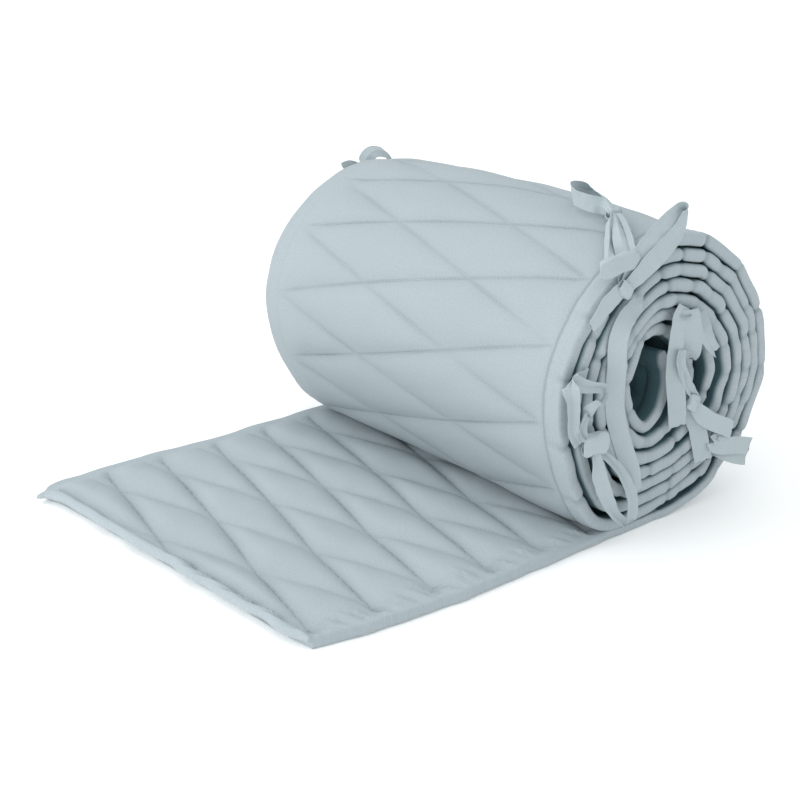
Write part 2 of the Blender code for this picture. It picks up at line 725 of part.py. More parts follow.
def build_all() -> None:
    """Build the strip and its six ties."""
    clear_scene()
    cotton = cloth_material("quilted cotton", (0.48, 0.58, 0.62), 0.85)
    ribbon = cloth_material("cotton ribbon", (0.50, 0.60, 0.64), 0.80)
    build_bumper(cotton)
    top = Bow(TOP_TURN, TOP_KNOTS, TOP_ROOT, TOP_RIBBONS)
    left = Bow(LEFT_TURN, LEFT_KNOTS, LEFT_ROOT, LEFT_RIBBONS)
    core = Bow(CORE_TURN, CORE_KNOTS, CORE_ROOT, CORE_RIBBONS)
    far_top = Bow(FAR_TOP_TURN, FAR_TOP_KNOTS, FAR_TOP_ROOT, FAR_TOP_RIBBONS)
    build_tie("tie_near_top", top, False, ribbon)
    build_tie("tie_near_left", left, False, ribbon)
    build_tie("tie_near_core", core, False, ribbon)
    build_tie("tie_far_top", far_top, True, ribbon)
    build_tie("tie_far_left", left, True, ribbon)
    build_tie("tie_far_core", core, True, ribbon)


build_all()
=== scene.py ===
"""Dresses the crib bumper: a quilted padded strip, partly rolled up, with tied ribbons in its long edges.

The strip is worked out in millimetres, by distance along it from its flat end (u) and across it from its
near edge (v), and laid on the path that it takes over the surface and round the roll. Everything else is
placed from the roll's axis and the strip's near edge. Meshes are written in metres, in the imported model's
frame.
"""

from __future__ import annotations

import logging
import math
from dataclasses import dataclass, field
from enum import Enum
from typing import NamedTuple, Sequence

import bmesh
import bpy
import numpy as np
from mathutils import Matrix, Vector

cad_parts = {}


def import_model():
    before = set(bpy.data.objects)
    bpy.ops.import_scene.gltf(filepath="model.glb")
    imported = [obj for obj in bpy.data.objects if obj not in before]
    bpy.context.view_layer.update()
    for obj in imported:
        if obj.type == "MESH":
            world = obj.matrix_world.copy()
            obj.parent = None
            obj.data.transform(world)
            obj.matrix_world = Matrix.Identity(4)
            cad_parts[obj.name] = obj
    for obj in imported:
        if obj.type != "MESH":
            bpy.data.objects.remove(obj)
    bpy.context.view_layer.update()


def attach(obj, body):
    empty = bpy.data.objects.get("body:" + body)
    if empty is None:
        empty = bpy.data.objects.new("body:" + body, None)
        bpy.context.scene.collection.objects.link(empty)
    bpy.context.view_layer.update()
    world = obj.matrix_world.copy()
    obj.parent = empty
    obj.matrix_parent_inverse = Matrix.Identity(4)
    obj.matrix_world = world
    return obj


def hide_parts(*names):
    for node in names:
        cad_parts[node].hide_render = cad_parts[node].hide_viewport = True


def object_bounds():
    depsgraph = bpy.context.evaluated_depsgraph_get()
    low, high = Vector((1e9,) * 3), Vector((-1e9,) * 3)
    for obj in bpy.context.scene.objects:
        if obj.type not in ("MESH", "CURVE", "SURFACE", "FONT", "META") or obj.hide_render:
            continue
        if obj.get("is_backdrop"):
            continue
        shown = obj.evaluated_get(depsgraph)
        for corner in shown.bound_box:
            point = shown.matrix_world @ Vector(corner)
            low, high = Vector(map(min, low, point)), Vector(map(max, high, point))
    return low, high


LOG = logging.getLogger("crib_bumper")

METRE = 0.001
STRIP_WIDTH = 300.0
AXIS_X = 101.7
AXIS_Z = 103.05


class Side(Enum):
    """The two faces of the strip."""

    INNER = "inner"
    OUTER = "outer"


class End(Enum):
    """The two ends of the roll, and so the strip's two long edges."""

    NEAR = "near"
    FAR = "far"


def ramp(value: np.ndarray, low: float, high: float) -> np.ndarray:
    """Return a smooth step.

    Args:
        value: the values to step.
        low: the value at which the step leaves 0.
        high: the value at which it reaches 1.

    Returns:
        The steps, from 0 to 1.
    """
    t = np.clip((np.asarray(value, float) - low) / (high - low), 0.0, 1.0)
    return t * t * (3 - 2 * t)


def smooth_curve(knots: np.ndarray, values: np.ndarray, at: np.ndarray) -> np.ndarray:
    """Return a smooth curve through knots.

    Args:
        knots: rising places of the knots.
        values: one value, or one row of values, for each knot.
        at: the places asked for.

    Returns:
        The value or row of values at each place.
    """
    slopes = np.gradient(values, knots, axis=0)
    span = np.clip(np.searchsorted(knots, at, side="right") - 1, 0, len(knots) - 2)
    width = knots[span + 1] - knots[span]
    t = (at - knots[span]) / width
    if values.ndim > 1:
        t, width = t[:, None], width[:, None]
    start = (1 + 2 * t) * (1 - t) ** 2 * values[span] + t * (1 - t) ** 2 * width * slopes[span]
    end = t**2 * (3 - 2 * t) * values[span + 1] + t**2 * (t - 1) * width * slopes[span + 1]
    return start + end


def uneven(place: np.ndarray, wavelength: float, seed: float) -> np.ndarray:
    """Return a smooth uneven wave, the same on each run.

    Args:
        place: where the wave is read.
        wavelength: the rough length of its waves, in the same unit.
        seed: a number that makes one wave differ from another.

    Returns:
        Values from about -1 to 1.
    """
    turn = 2 * math.pi * np.asarray(place, float) / wavelength
    wave = np.sin(turn + seed)
    wave = wave + 0.7 * np.sin(1.618 * turn + 2.3 * seed) + 0.5 * np.sin(0.577 * turn + 4.1 * seed)
    return wave / 1.7


def scatter(first: np.ndarray, second: np.ndarray) -> np.ndarray:
    """Return a value from 0 to 1 for each pair of whole numbers, with no pattern in it."""
    mixed = np.sin(first * 127.1 + second * 311.7) * 43758.5453
    return mixed - np.floor(mixed)


@dataclass
class Winding:
    """The strip's middle line across the roll's axis: flat at first, then wound inwards to a small eye.

    The outline gives the outer turn's radius by angle. Shifts say how far each turn stands out at the near
    end. Bulges say how far the outer turn's cloth stands out, by the degrees wound and by the column across
    the strip, and each further turn follows it by its own share. End outs do the same for the near end alone,
    by angle.
    """

    flat_end: float = -199.3
    turns: float = 7.25
    last_turn: float = 7.38
    eye: tuple[float, float, float, float] = (-16.5, -4.0, 15.5, 28.0)
    eye_corners: float = 1.3
    looseness: float = 0.30
    sample: float = math.radians(1.5)
    outline: tuple[tuple[float, float], ...] = (
        (-90, 98.9), (-60, 102.6), (-30, 100.9), (0, 95.2), (30, 90.5), (60, 89.7), (90, 90.5),
        (120, 89.8), (150, 94.1), (180, 101.3), (210, 104.6), (240, 108.4), (255, 102.4), (270, 98.9),
    )
    shifts: tuple[tuple[float, float], ...] = (
        (-0.5, 0.0), (0.0, 0.0), (1.0, 0.6), (2.0, 2.2), (3.0, 3.6), (4.0, 4.6), (5.0, 3.2), (6.0, 1.0),
        (7.25, -1.5),
    )
    inner_lean: float = -1.0
    followed: tuple[float, ...] = (1.0, 0.62, 0.40, 0.22, 0.10, 0.0, 0.0, 0.0)
    bulge_columns: tuple[float, ...] = (0.0, 20.0, 60.0, 110.0, 150.0, 190.0, 230.0, 272.0, 300.0)
    bulges: tuple[tuple[float, ...], ...] = (
        (60.0, 0.0, 0.0, 0.0, 0.0, 0.0, 0.0, 0.0, 0.0, 0.0),
        (110.0, 0.5, 1.0, 2.0, 3.0, 3.0, 3.0, 3.0, 1.5, 0.0),
        (163.0, 1.0, 2.5, 5.0, 6.4, 7.6, 7.4, 5.5, 3.0, -2.0),
        (215.0, 1.0, 2.0, 4.0, 5.0, 5.5, 5.5, 5.0, 3.5, 1.9),
        (253.0, 0.0, 1.0, 2.5, 3.5, 4.0, 4.0, 4.0, 4.0, 4.0),
        (285.0, 0.0, 0.5, 1.5, 2.0, 2.0, 2.0, 1.5, 1.0, 0.4),
        (312.0, 2.5, 3.5, 4.0, 3.5, 2.5, 2.0, 2.0, 1.5, -0.5),
        (328.0, 6.0, 7.5, 7.5, 7.0, 5.0, 3.2, 3.4, 4.0, 1.0),
        (338.0, 4.0, 4.5, 4.5, 4.5, 4.0, 3.6, 3.6, 3.5, 1.0),
        (350.0, 0.6, 0.6, 0.6, 0.6, 0.8, 0.8, 0.8, 0.6, 0.0),
        (360.0, 0.0, 0.0, 0.0, 0.0, 0.0, 0.0, 0.0, 0.0, 0.0),
    )
    end_outs: tuple[tuple[float, float], ...] = (
        (-181.0, 0.0), (-90.0, 0.0), (-64.0, -4.0), (-50.0, -4.5), (-35.0, -1.0), (-12.0, 3.0), (10.0, 2.5),
        (35.0, 0.5), (60.0, 0.5), (90.0, 0.0), (181.0, 0.0),
    )
    facet: float = 26.0
    facet_start: float = -11.0
    facet_share: float = 0.85
    lean_turns: float = 0.45
    end_reach: float = 45.0

    def __post_init__(self) -> None:
        """Sample the path and measure the room between its turns."""
        wound = np.arange(0.0, 2 * math.pi * self.last_turn + self.sample / 2, self.sample)
        roll = self.roll_points(wound)
        flat_x = np.arange(self.flat_end, roll[0, 0] - 1.5, 3.0)
        self.points = np.concatenate([np.stack([flat_x, np.full_like(flat_x, roll[0, 1])], axis=1), roll])
        self.wound = np.concatenate([(flat_x - roll[0, 0]) / self.radius(np.array([-90.0]))[0], wound])
        steps = np.linalg.norm(np.diff(self.points, axis=0), axis=1)
        self.distance = np.concatenate([[0.0], np.cumsum(steps)])
        self.length = float(self.distance[-1])
        tangent = np.gradient(self.points, self.distance, axis=0)
        tangent /= np.linalg.norm(tangent, axis=1)[:, None]
        self.inward = np.stack([-tangent[:, 1], tangent[:, 0]], axis=1)
        apart = np.linalg.norm(self.points[:, None, :] - self.points[None, :, :], axis=2)
        apart[np.abs(self.wound[:, None] - self.wound[None, :]) < math.pi] = np.inf
        self.room = apart.min(axis=1)

    def radius(self, angle: np.ndarray) -> np.ndarray:
        """Return the outline's radius at angles from -90 to 270 degrees."""
        angles = np.array([row[0] for row in self.outline], float)
        radii = np.array([row[1] for row in self.outline], float)
        angles = np.concatenate([angles[-3:-1] - 360.0, angles, angles[1:3] + 360.0])
        radii = np.concatenate([radii[-3:-1], radii, radii[1:3]])
        return smooth_curve(angles, radii, angle)

    def roll_points(self, wound: np.ndarray) -> np.ndarray:
        """Return the middle line's points for the angles wound so far, in X and Z."""
        angle = wound - math.pi / 2
        radius = self.radius(np.mod(np.degrees(angle) + 90.0, 360.0) - 90.0)
        across, up = np.cos(angle), np.sin(angle)
        outer = np.stack([radius * across, radius * up], axis=1)
        eye_x, eye_z, half_width, half_height = self.eye
        angular = [np.sign(part) * np.abs(part) ** self.eye_corners for part in (across, up)]
        core = np.stack([eye_x + half_width * angular[0], eye_z + half_height * angular[1]], axis=1)
        share = np.minimum(wound / (2 * math.pi * self.turns), 1.0)
        loose = self.looseness * np.clip(across, 0.0, None) ** 1.5
        inward = share * (1 - loose) + loose * share**4
        points = outer + (core - outer) * inward[:, None] + np.array([AXIS_X, AXIS_Z])
        last = 2 * math.pi * self.last_turn
        points[:, 0] -= self.inner_lean * ramp(wound, last - 2 * math.pi * self.lean_turns, last)
        return points

    def bulge(self, wound: np.ndarray, v: np.ndarray) -> np.ndarray:
        """Return how far the outer turn's loose cloth stands out from the wound path.

        Args:
            wound: the angles wound so far, one for each line of points.
            v: distances across the strip, one row for each line of points.

        Returns:
            The distances outwards.
        """
        table = np.array(self.bulges, float)
        columns = np.array(self.bulge_columns)
        turn = np.clip(np.floor(wound / (2 * math.pi)), 0, len(self.followed) - 1).astype(int)
        degrees = np.clip(np.degrees(wound) - 360.0 * turn, table[0, 0], table[-1, 0])
        by_line = smooth_curve(table[:, 0], table[:, 1:], degrees) * np.array(self.followed)[turn][:, None]
        place = np.clip(v, columns[0], columns[-1])
        span = np.clip(np.searchsorted(columns, place[0], side="right") - 1, 0, len(columns) - 2)
        t = ramp(place[0], columns[span], columns[span + 1])
        return by_line[:, span] * (1 - t) + by_line[:, span + 1] * t

    def end_shape(self, point: np.ndarray, v: np.ndarray) -> np.ndarray:
        """Return how far the roll's near end stands out from the wound path, where it bends at its stitching.

        Args:
            point: the path's points, in X and Z.
            v: distances across the strip, one row for each line of points.

        Returns:
            The distances outwards.
        """
        across, up = point[:, 0] - AXIS_X, point[:, 1] - AXIS_Z
        radius = np.hypot(across, up)
        angle = np.degrees(np.arctan2(up, across))
        table = np.array(self.end_outs, float)
        out = smooth_curve(table[:, 0], table[:, 1], angle) * radius / 95.0
        half_facet = self.facet / 2
        from_middle = np.mod(angle - self.facet_start, self.facet) - half_facet
        chord = 1 - math.cos(math.radians(half_facet)) / np.cos(np.radians(from_middle))
        on_right = ramp(np.cos(np.radians(angle)), -0.25, 0.35)
        out -= self.facet_share * chord * radius * on_right * ramp(radius, 25.0, 45.0)
        return out[:, None] * np.exp(-v / self.end_reach)

    def shift(self, wound: np.ndarray) -> np.ndarray:
        """Return how far the strip stands out at the near end, for the angles wound so far."""
        turns = np.array([row[0] for row in self.shifts])
        outs = np.array([row[1] for row in self.shifts])
        return smooth_curve(turns, outs, np.clip(wound / (2 * math.pi), turns[0], turns[-1]))

    def distance_at(self, degrees: float) -> float:
        """Return the distance along the strip at which it has been wound through an angle."""
        return float(np.interp(math.radians(degrees), self.wound, self.distance))

    def at(self, distance: np.ndarray) -> tuple[np.ndarray, np.ndarray, np.ndarray, np.ndarray]:
        """Return places on the path.

        Args:
            distance: distances from the flat end.

        Returns:
            The points and the directions towards the roll's inside, in X and Z, the angles wound, and the
            room to the next turns.
        """
        point = np.stack([np.interp(distance, self.distance, self.points[:, k]) for k in range(2)], axis=1)
        inward = np.stack([np.interp(distance, self.distance, self.inward[:, k]) for k in range(2)], axis=1)
        inward /= np.linalg.norm(inward, axis=1)[:, None]
        wound = np.interp(distance, self.distance, self.wound)
        return point, inward, wound, np.interp(distance, self.distance, self.room)


class SewnLines(NamedTuple):
    """How far points are from each set of sewn lines, and the set's running number, whole on its lines."""

    from_rising: np.ndarray
    from_falling: np.ndarray
    rising: np.ndarray
    falling: np.ndarray

    def diamond(self) -> np.ndarray:
        """Return a value from 0 to 1 for each diamond."""
        return scatter(np.floor(self.rising), np.floor(self.falling))


@dataclass
class Quilting:
    """The diamonds sewn into the strip: where their lines run and cross, and where the border begins."""

    path: Winding
    border: float = 15.5
    end_border: float = 15.5
    tail_rows: tuple[float, ...] = (20.0, 98.0, 178.0, 262.0)
    roll_rows: tuple[float, ...] = (19.0, 107.0, 197.0, 285.0)
    tail_lean: tuple[float, ...] = (0.0, -1.5, 3.0, 5.0)
    pitch: float = 44.6
    roll_pitch: float = 30.0
    half_pitch: float = 21.5
    line_slope: float = 0.963
    tail_fades: tuple[float, float] = (300.0, 420.0)

    def __post_init__(self) -> None:
        """Fix the diamonds' count along the strip, by millimetres where flat and by degrees where wound."""
        flat_stretch, wound_stretch = 250.0, range(130, 380, 30)
        first = self.pitch / 2
        marks = [(0.0, -first / self.pitch), (flat_stretch, (flat_stretch - first) / self.pitch)]
        for degrees in wound_stretch:
            marks.append((self.path.distance_at(degrees), 15.0 + (degrees - 250.0) / self.roll_pitch))
        last_u, last_s = marks[-1]
        past_end = self.path.length + 50.0
        marks.append((past_end, last_s + (past_end - last_u) / self.pitch))
        self.mark_u = np.array([mark[0] for mark in marks])
        self.mark_s = np.array([mark[1] for mark in marks])

    def count(self, u: np.ndarray) -> np.ndarray:
        """Return how many diamonds there are from the flat end to each distance."""
        return np.interp(u, self.mark_u, self.mark_s)

    def distance(self, count: np.ndarray) -> np.ndarray:
        """Return the distance along the strip at which a count of diamonds is reached."""
        return np.interp(count, self.mark_s, self.mark_u)

    def tail_share(self, u: np.ndarray) -> np.ndarray:
        """Return 1 on the flat end and 0 on the roll."""
        return 1.0 - ramp(u, *self.tail_fades)

    def rows_at(self, u: np.ndarray) -> np.ndarray:
        """Return where the crossings lie across the strip, one row of four for each distance."""
        tail = self.tail_share(u)[:, None]
        return tail * np.array(self.tail_rows) + (1 - tail) * np.array(self.roll_rows)

    def row_of(self, u: np.ndarray, v: np.ndarray) -> np.ndarray:
        """Return each point's row number across the strip, whole where lines cross."""
        rows = self.rows_at(u)
        row = (v - rows[:, :1]) / (rows[:, 1:2] - rows[:, :1])
        row = np.minimum(row, 1.0)
        row = row + np.clip((v - rows[:, 1:2]) / (rows[:, 2:3] - rows[:, 1:2]), 0.0, 1.0)
        return row + np.maximum((v - rows[:, 2:3]) / (rows[:, 3:4] - rows[:, 2:3]), 0.0)

    def lean(self, u: np.ndarray, row: np.ndarray) -> np.ndarray:
        """Return how far the flat end's diamonds are dragged along at a row, in diamonds."""
        shifted = np.interp(row, [0.0, 1.0, 2.0, 3.0], self.tail_lean)
        return self.tail_share(u)[:, None] * shifted / self.pitch

    def lines(self, u: np.ndarray, v: np.ndarray) -> SewnLines:
        """Measure points from the sewn lines.

        Args:
            u: distances along the strip, one for each line of points.
            v: distances across it, one row for each line of points.

        Returns:
            The measures of each point.
        """
        row = self.row_of(u, v)
        count = self.count(u)[:, None] - self.lean(u, row)
        pitch = np.gradient(u, self.count(u))[:, None] * self.line_slope
        rising, falling = count - row / 2, count + row / 2
        from_rising = np.abs(rising - np.round(rising)) * pitch
        from_falling = np.abs(falling - np.round(falling)) * pitch
        return SewnLines(from_rising, from_falling, rising, falling)


class Marks(NamedTuple):
    """What the cotton's finish needs to know of each point of the strip."""

    strong_line: np.ndarray
    weak_line: np.ndarray
    border_gap: np.ndarray
    border_share: np.ndarray
    # Painted shade: where the strip lies in gaps between turns, inside the eye and at the edge notches.
    buried: np.ndarray
    rising: np.ndarray
    falling: np.ndarray


class EdgeStyle(NamedTuple):
    """How the quilting meets a stretch of edge.

    The border's seam has a strength and the border a fullness, as shares. The diamonds fade out over a soft
    stretch, in millimetres, and reach past the seam by an early one.
    """

    seam: float
    full: float
    soft: float
    early: float = 0.0


@dataclass
class StripShape:
    """The padded cloth's surface: thickness, border, puckers and the way its edges are drawn in."""

    path: Winding
    quilting: Quilting
    puff: float = 4.35
    seam: float = 1.5
    strong_power: float = 2.7
    weak_power: float = 2.1
    tail_power: float = 0.5
    weak_depth: float = 0.84
    tail_shallower: float = 0.14
    least_fill: float = 0.84
    fill_spread: float = 0.26
    pillow_power: float = 0.82
    notch_depth: float = 0.72
    pinch_depth: float = 0.04
    notch_width: float = 1.6
    pinch_width: float = 7.0
    facet_spacing: float = 43.0
    far_pinch: float = 0.25
    tail_swell: float = 1.26
    floor: float = 4.15
    clearance: float = 0.5
    edge_round: float = 9.5
    long_round: float = 2.6
    flat_round: float = 1.9
    lift: float = math.radians(18.0)
    drawn_reach: float = 14.0
    bow_reach: float = 60.0
    # The outer face gets painted gap shade from this many turns in, and the edge notches get this share of
    # painted shade.
    hidden_turn: float = 0.985
    notch_shade: float = 0.5
    end_lift: float = 1.1
    end_inset: float = 7.0
    near_tail: EdgeStyle = EdgeStyle(0.04, 0.56, 11.0, 11.0)
    near_roll: EdgeStyle = EdgeStyle(0.80, 1.0, 13.0)
    far_tail: EdgeStyle = EdgeStyle(0.05, 0.54, 9.0, 7.0)
    far_roll: EdgeStyle = EdgeStyle(0.12, 0.74, 26.0)
    strip_end: EdgeStyle = EdgeStyle(0.95, 0.84, 6.0)
    near_bow: tuple[tuple[float, float], ...] = (
        (0.0, -5.0), (12.0, -3.5), (28.0, -0.5), (50.0, 3.0), (85.0, 5.4), (120.0, 6.9), (160.0, 5.6),
        (215.0, 3.2), (270.0, 0.6), (310.0, 0.0), (340.0, 0.0),
    )
    far_bow: tuple[tuple[float, float], ...] = (
        (0.0, 0.5), (50.0, 1.5), (100.0, 2.4), (130.0, 0.0), (165.0, 0.0), (205.0, 3.0), (245.0, 6.0),
        (290.0, 3.0), (330.0, 0.0), (350.0, 0.0),
    )

    def rounded(self, inset: np.ndarray) -> np.ndarray:
        """Return how full the cloth is at a distance from its edge: 0 at the edge itself, then 1."""
        left = 1.0 - np.clip(inset / self.edge_round, 0.0, 1.0)
        return (1.0 - left**2.4) ** (1 / 2.4)

    @staticmethod
    def swell(distance: np.ndarray, reach: float, power: np.ndarray | float) -> np.ndarray:
        """Return how the cloth rises from a sewn line: 0 on it and 1 from its reach on."""
        return 1.0 - (1.0 - np.clip(distance / reach, 0.0, 1.0)) ** power

    def pinches(self, u: np.ndarray, end: End) -> tuple[np.ndarray, np.ndarray]:
        """Return the narrow and the wide share of the pinch at an edge, where lines of stitching meet it."""
        offset = 3.0 if end is End.NEAR else 5.0
        count = 2.0 * self.quilting.count(u)
        spacing = np.full_like(count, self.quilting.pitch / 2)
        if end is End.NEAR:
            wound = np.interp(u, self.path.distance, self.path.wound)
            outer = (wound > 0.9) & (wound < 2 * math.pi * 1.02)
            facets = (np.degrees(wound) - 90.0 - self.path.facet_start) / self.path.facet
            count = np.where(outer, facets + 400.0, count)
            spacing = np.where(outer, self.facet_spacing, spacing)
        whole = np.round(count)
        jitter = (scatter(whole, np.full_like(whole, offset)) - 0.5) * np.where(spacing > 30.0, 0.05, 0.45)
        strength = 0.25 + 0.75 * scatter(whole, np.full_like(whole, offset + 5.0))
        away = (count - whole - jitter) * spacing
        narrow, wide = (np.exp(-((away / width) ** 2)) for width in (self.notch_width, self.pinch_width))
        return strength * narrow, strength * wide

    def edge_pinch(self, u: np.ndarray, v: np.ndarray) -> tuple[np.ndarray, np.ndarray]:
        """Return the narrow and the wide pinch at each point, from the nearer long edge."""
        near_narrow, near_wide = self.pinches(u, End.NEAR)
        far_narrow, far_wide = self.pinches(u, End.FAR)
        is_near = v < STRIP_WIDTH / 2
        narrow = np.where(is_near, near_narrow[:, None], self.far_pinch * far_narrow[:, None])
        wide = np.where(is_near, near_wide[:, None], self.far_pinch * far_wide[:, None])
        tail = self.quilting.tail_share(u)[:, None]
        return narrow * (1 - 0.9 * tail), wide * (1 - 0.8 * tail)

    def edge_style(self, name: str, near: np.ndarray, tail: np.ndarray, at_end: np.ndarray) -> np.ndarray:
        """Return one value of the edges' styles at each point, blended from the edges around it.

        Args:
            name: the value's name.
            near: 1 by the near edge and 0 by the far one.
            tail: 1 on the flat end and 0 on the roll.
            at_end: 1 by the strip's own ends and 0 by its long edges.

        Returns:
            The blended values.
        """
        styles = (self.near_tail, self.near_roll, self.far_tail, self.far_roll, self.strip_end)
        near_tail, near_roll, far_tail, far_roll, end = (getattr(style, name) for style in styles)
        near_value = near_tail * tail + near_roll * (1 - tail)
        far_value = far_tail * tail + far_roll * (1 - tail)
        return at_end * end + (1 - at_end) * (near * near_value + (1 - near) * far_value)

    def half(self, u: np.ndarray, v: np.ndarray) -> tuple[np.ndarray, Marks]:
        """Work out the strip's half thickness.

        Args:
            u: distances along the strip, one for each line of points.
            v: distances across it, one row for each line of points.

        Returns:
            The half thicknesses, without the rounding of the edge, and the marks for the finish.
        """
        quilting = self.quilting
        tail = quilting.tail_share(u)[:, None]
        across = np.minimum(v, STRIP_WIDTH - v)
        along_end = np.minimum(u, self.path.length - u)[:, None]
        near = 1.0 - ramp(v, STRIP_WIDTH / 2 - 5.0, STRIP_WIDTH / 2 + 5.0)
        at_end = ramp(across - along_end, -5.0, 5.0)
        sewn = quilting.lines(u, v)
        reach = quilting.half_pitch
        weak_depth = self.weak_depth - self.tail_shallower * tail
        strong_rise = self.swell(sewn.from_rising, reach, self.strong_power + self.tail_power * tail)
        weak_rise = self.swell(sewn.from_falling, reach, self.weak_power)
        fill = self.least_fill + self.fill_spread * sewn.diamond()
        pillow = strong_rise * (1 - weak_depth * (1 - weak_rise))
        pillow = np.clip(pillow, 0.0, 1.0) ** self.pillow_power * (1 + (fill - 1) * strong_rise * weak_rise)
        from_border = np.minimum(across - quilting.border, along_end - quilting.end_border)
        blended = [self.edge_style(name, near, tail, at_end) for name in EdgeStyle._fields]
        border_share, band, soft, early = blended
        fade = ramp((from_border + early) / soft, -0.15, 1.0)
        inside = pillow * fade + band * (1 - fade)
        inner_side, border_side = self.swell(from_border, 15.0, 2.6), self.swell(-from_border, 6.5, 2.2)
        groove = np.where(from_border > 0, inner_side, border_side)
        inside = inside * (1 - border_share * (1 - groove))
        narrow, wide = self.edge_pinch(u, v)
        at_edge = 1 - ramp(across, 8.0, 22.0)
        inside = inside * (1 - at_edge * (self.notch_depth * narrow + self.pinch_depth * wide))
        half = self.seam + (self.puff - self.seam) * inside
        half = half + self.puckers(u, v, sewn, from_border, border_share, near * tail)
        along = u[:, None]
        lift = 0.35 * uneven(along + 0.4 * v, 61.0, 1.3) + 0.25 * uneven(v - 0.3 * along, 47.0, 2.9)
        half = half + 0.55 * lift * np.clip(inside, 0.0, 1.0)
        clear = 0.78 + 0.22 * uneven(along + 0.7 * v, 83.0, 0.9)
        strong = fade * clear
        weak = fade * (0.45 + 0.2 * tail + 0.25 * uneven(along - 0.5 * v, 97.0, 4.2)) * (1 - 0.45 * tail)
        border_share = border_share * np.ones_like(v)
        # No painted gap shade is set here; surface adds it.
        buried = np.zeros_like(half)
        return half, Marks(strong, weak, from_border, border_share, buried, sewn.rising, sewn.falling)

    @staticmethod
    def puckers(u: np.ndarray, v: np.ndarray, sewn: SewnLines, from_border: np.ndarray,
                border_share: np.ndarray, gathered: np.ndarray) -> np.ndarray:
        """Work out the small creases that cross the stitching and gather the edges.

        Args:
            u: distances along the strip, one for each line of points.
            v: distances across it, one row for each line of points.
            sewn: each point's measures from the sewn lines.
            from_border: each point's distance in from the border's seam.
            border_share: how strongly the border is sewn off.
            gathered: where the near edge is gathered, from 0 to 1.

        Returns:
            How much they add to the half thickness.
        """
        along = u[:, None] + np.zeros_like(v)
        inner = ramp(from_border, 0.0, 6.0)
        by_line = 0.09 * np.exp(-sewn.from_rising / 5.0) * uneven(v + 0.3 * along, 19.0, 0.7)
        by_line += 0.07 * np.exp(-sewn.from_falling / 5.0) * uneven(v - 0.3 * along, 23.0, 3.1)
        edge = border_share * np.exp(-np.abs(from_border) / 4.5) * uneven(along + 0.25 * v, 8.5, 5.3)
        by_sewing = np.exp(-np.minimum(sewn.from_rising, sewn.from_falling) / 7.0)
        gathers = np.exp(-(((from_border + 3.5) / 6.5) ** 2)) * (0.45 + 0.6 * by_sewing)
        tucks = gathers * (0.55 * uneven(along + 0.45 * v, 10.0, 2.2) - 0.25)
        return by_line * inner + 0.22 * edge + 2.3 * tucks * gathered

    def surface(self, u: np.ndarray, v: np.ndarray, side: Side) -> tuple[np.ndarray, Marks]:
        """Lay points of the strip's surface on its path.

        Args:
            u: distances along the strip, one for each line of points.
            v: distances across it, the same for each line of points.
            side: the face that the points are on.

        Returns:
            The points, in millimetres, and the marks for the finish.
        """
        path = self.path
        grid = np.broadcast_to(v, (len(u), len(v)))
        point, inward, wound, room = path.at(u)
        half, marks = self.half(u, grid)
        half = half * (1.0 + (self.tail_swell - 1.0) * ramp(-point[:, 0], -21.0, 9.0) * (wound < 0))[:, None]
        limit = (room - self.clearance) / 2
        if side is Side.OUTER:
            limit = np.where(wound < 2 * math.pi, limit + 1.5, limit)
        half = np.minimum(half, limit[:, None])
        lying = (1.0 - ramp(wound, 0.0, self.lift))[:, None]
        below = half + (self.floor - half) * lying
        offset = below if side is Side.OUTER else 2 * half - below
        across = np.minimum(grid, STRIP_WIDTH - grid)
        flat = self.quilting.tail_share(u)[:, None]
        rounding = flat * self.flat_round + (1 - flat) * self.long_round
        inset = np.minimum(across * self.edge_round / rounding, np.minimum(u, path.length - u)[:, None])
        offset = offset * self.rounded(inset)
        end_rise = (self.end_lift * (1.0 - ramp(u, 0.0, 12.0)))[:, None]
        if side is Side.OUTER:
            offset = -offset * (1.0 - 0.97 * (1.0 - ramp(u, 0.0, 13.0))[:, None] * lying) + end_rise
        else:
            offset = offset + end_rise
        offset = offset - path.bulge(wound, grid) * (wound > 0)[:, None]
        offset = offset - path.end_shape(point, grid) * ramp(wound, 0.2, 0.9)[:, None]
        x = point[:, :1] + inward[:, :1] * offset
        z = point[:, 1:] + inward[:, 1:] * offset
        y = grid - STRIP_WIDTH / 2 - path.shift(wound)[:, None] + self.drawn_in(u, grid)
        flat_end = (1.0 - ramp(u, 0.0, 17.0))[:, None]
        waved = 0.9 * uneven(grid, 52.0, 2.6) + 3.5 * np.exp(-((grid / 11.0) ** 2))
        x = x + flat_end * (self.end_inset + 1.5 * grid / STRIP_WIDTH + waved)
        placed = np.stack([x, y, np.maximum(z, 0.02)], axis=2)
        # Painted shade: the inner face of every wound turn, the outer face from nearly a full turn in, and
        # the edge notches are darkened in the finish, where they lie between turns and inside the eye.
        buried = wound > 0 if side is Side.INNER else wound > 2 * math.pi * self.hidden_turn
        painted_shade_amount = ramp(across, 0.2, 3.5) * buried[:, None]
        notch = self.edge_pinch(u, grid)[0] * (1.0 - ramp(across, 1.0, 8.0))
        painted_shade_amount = np.maximum(painted_shade_amount, self.notch_shade * notch)
        return self.bent_corner(u, grid, placed), marks._replace(buried=painted_shade_amount)

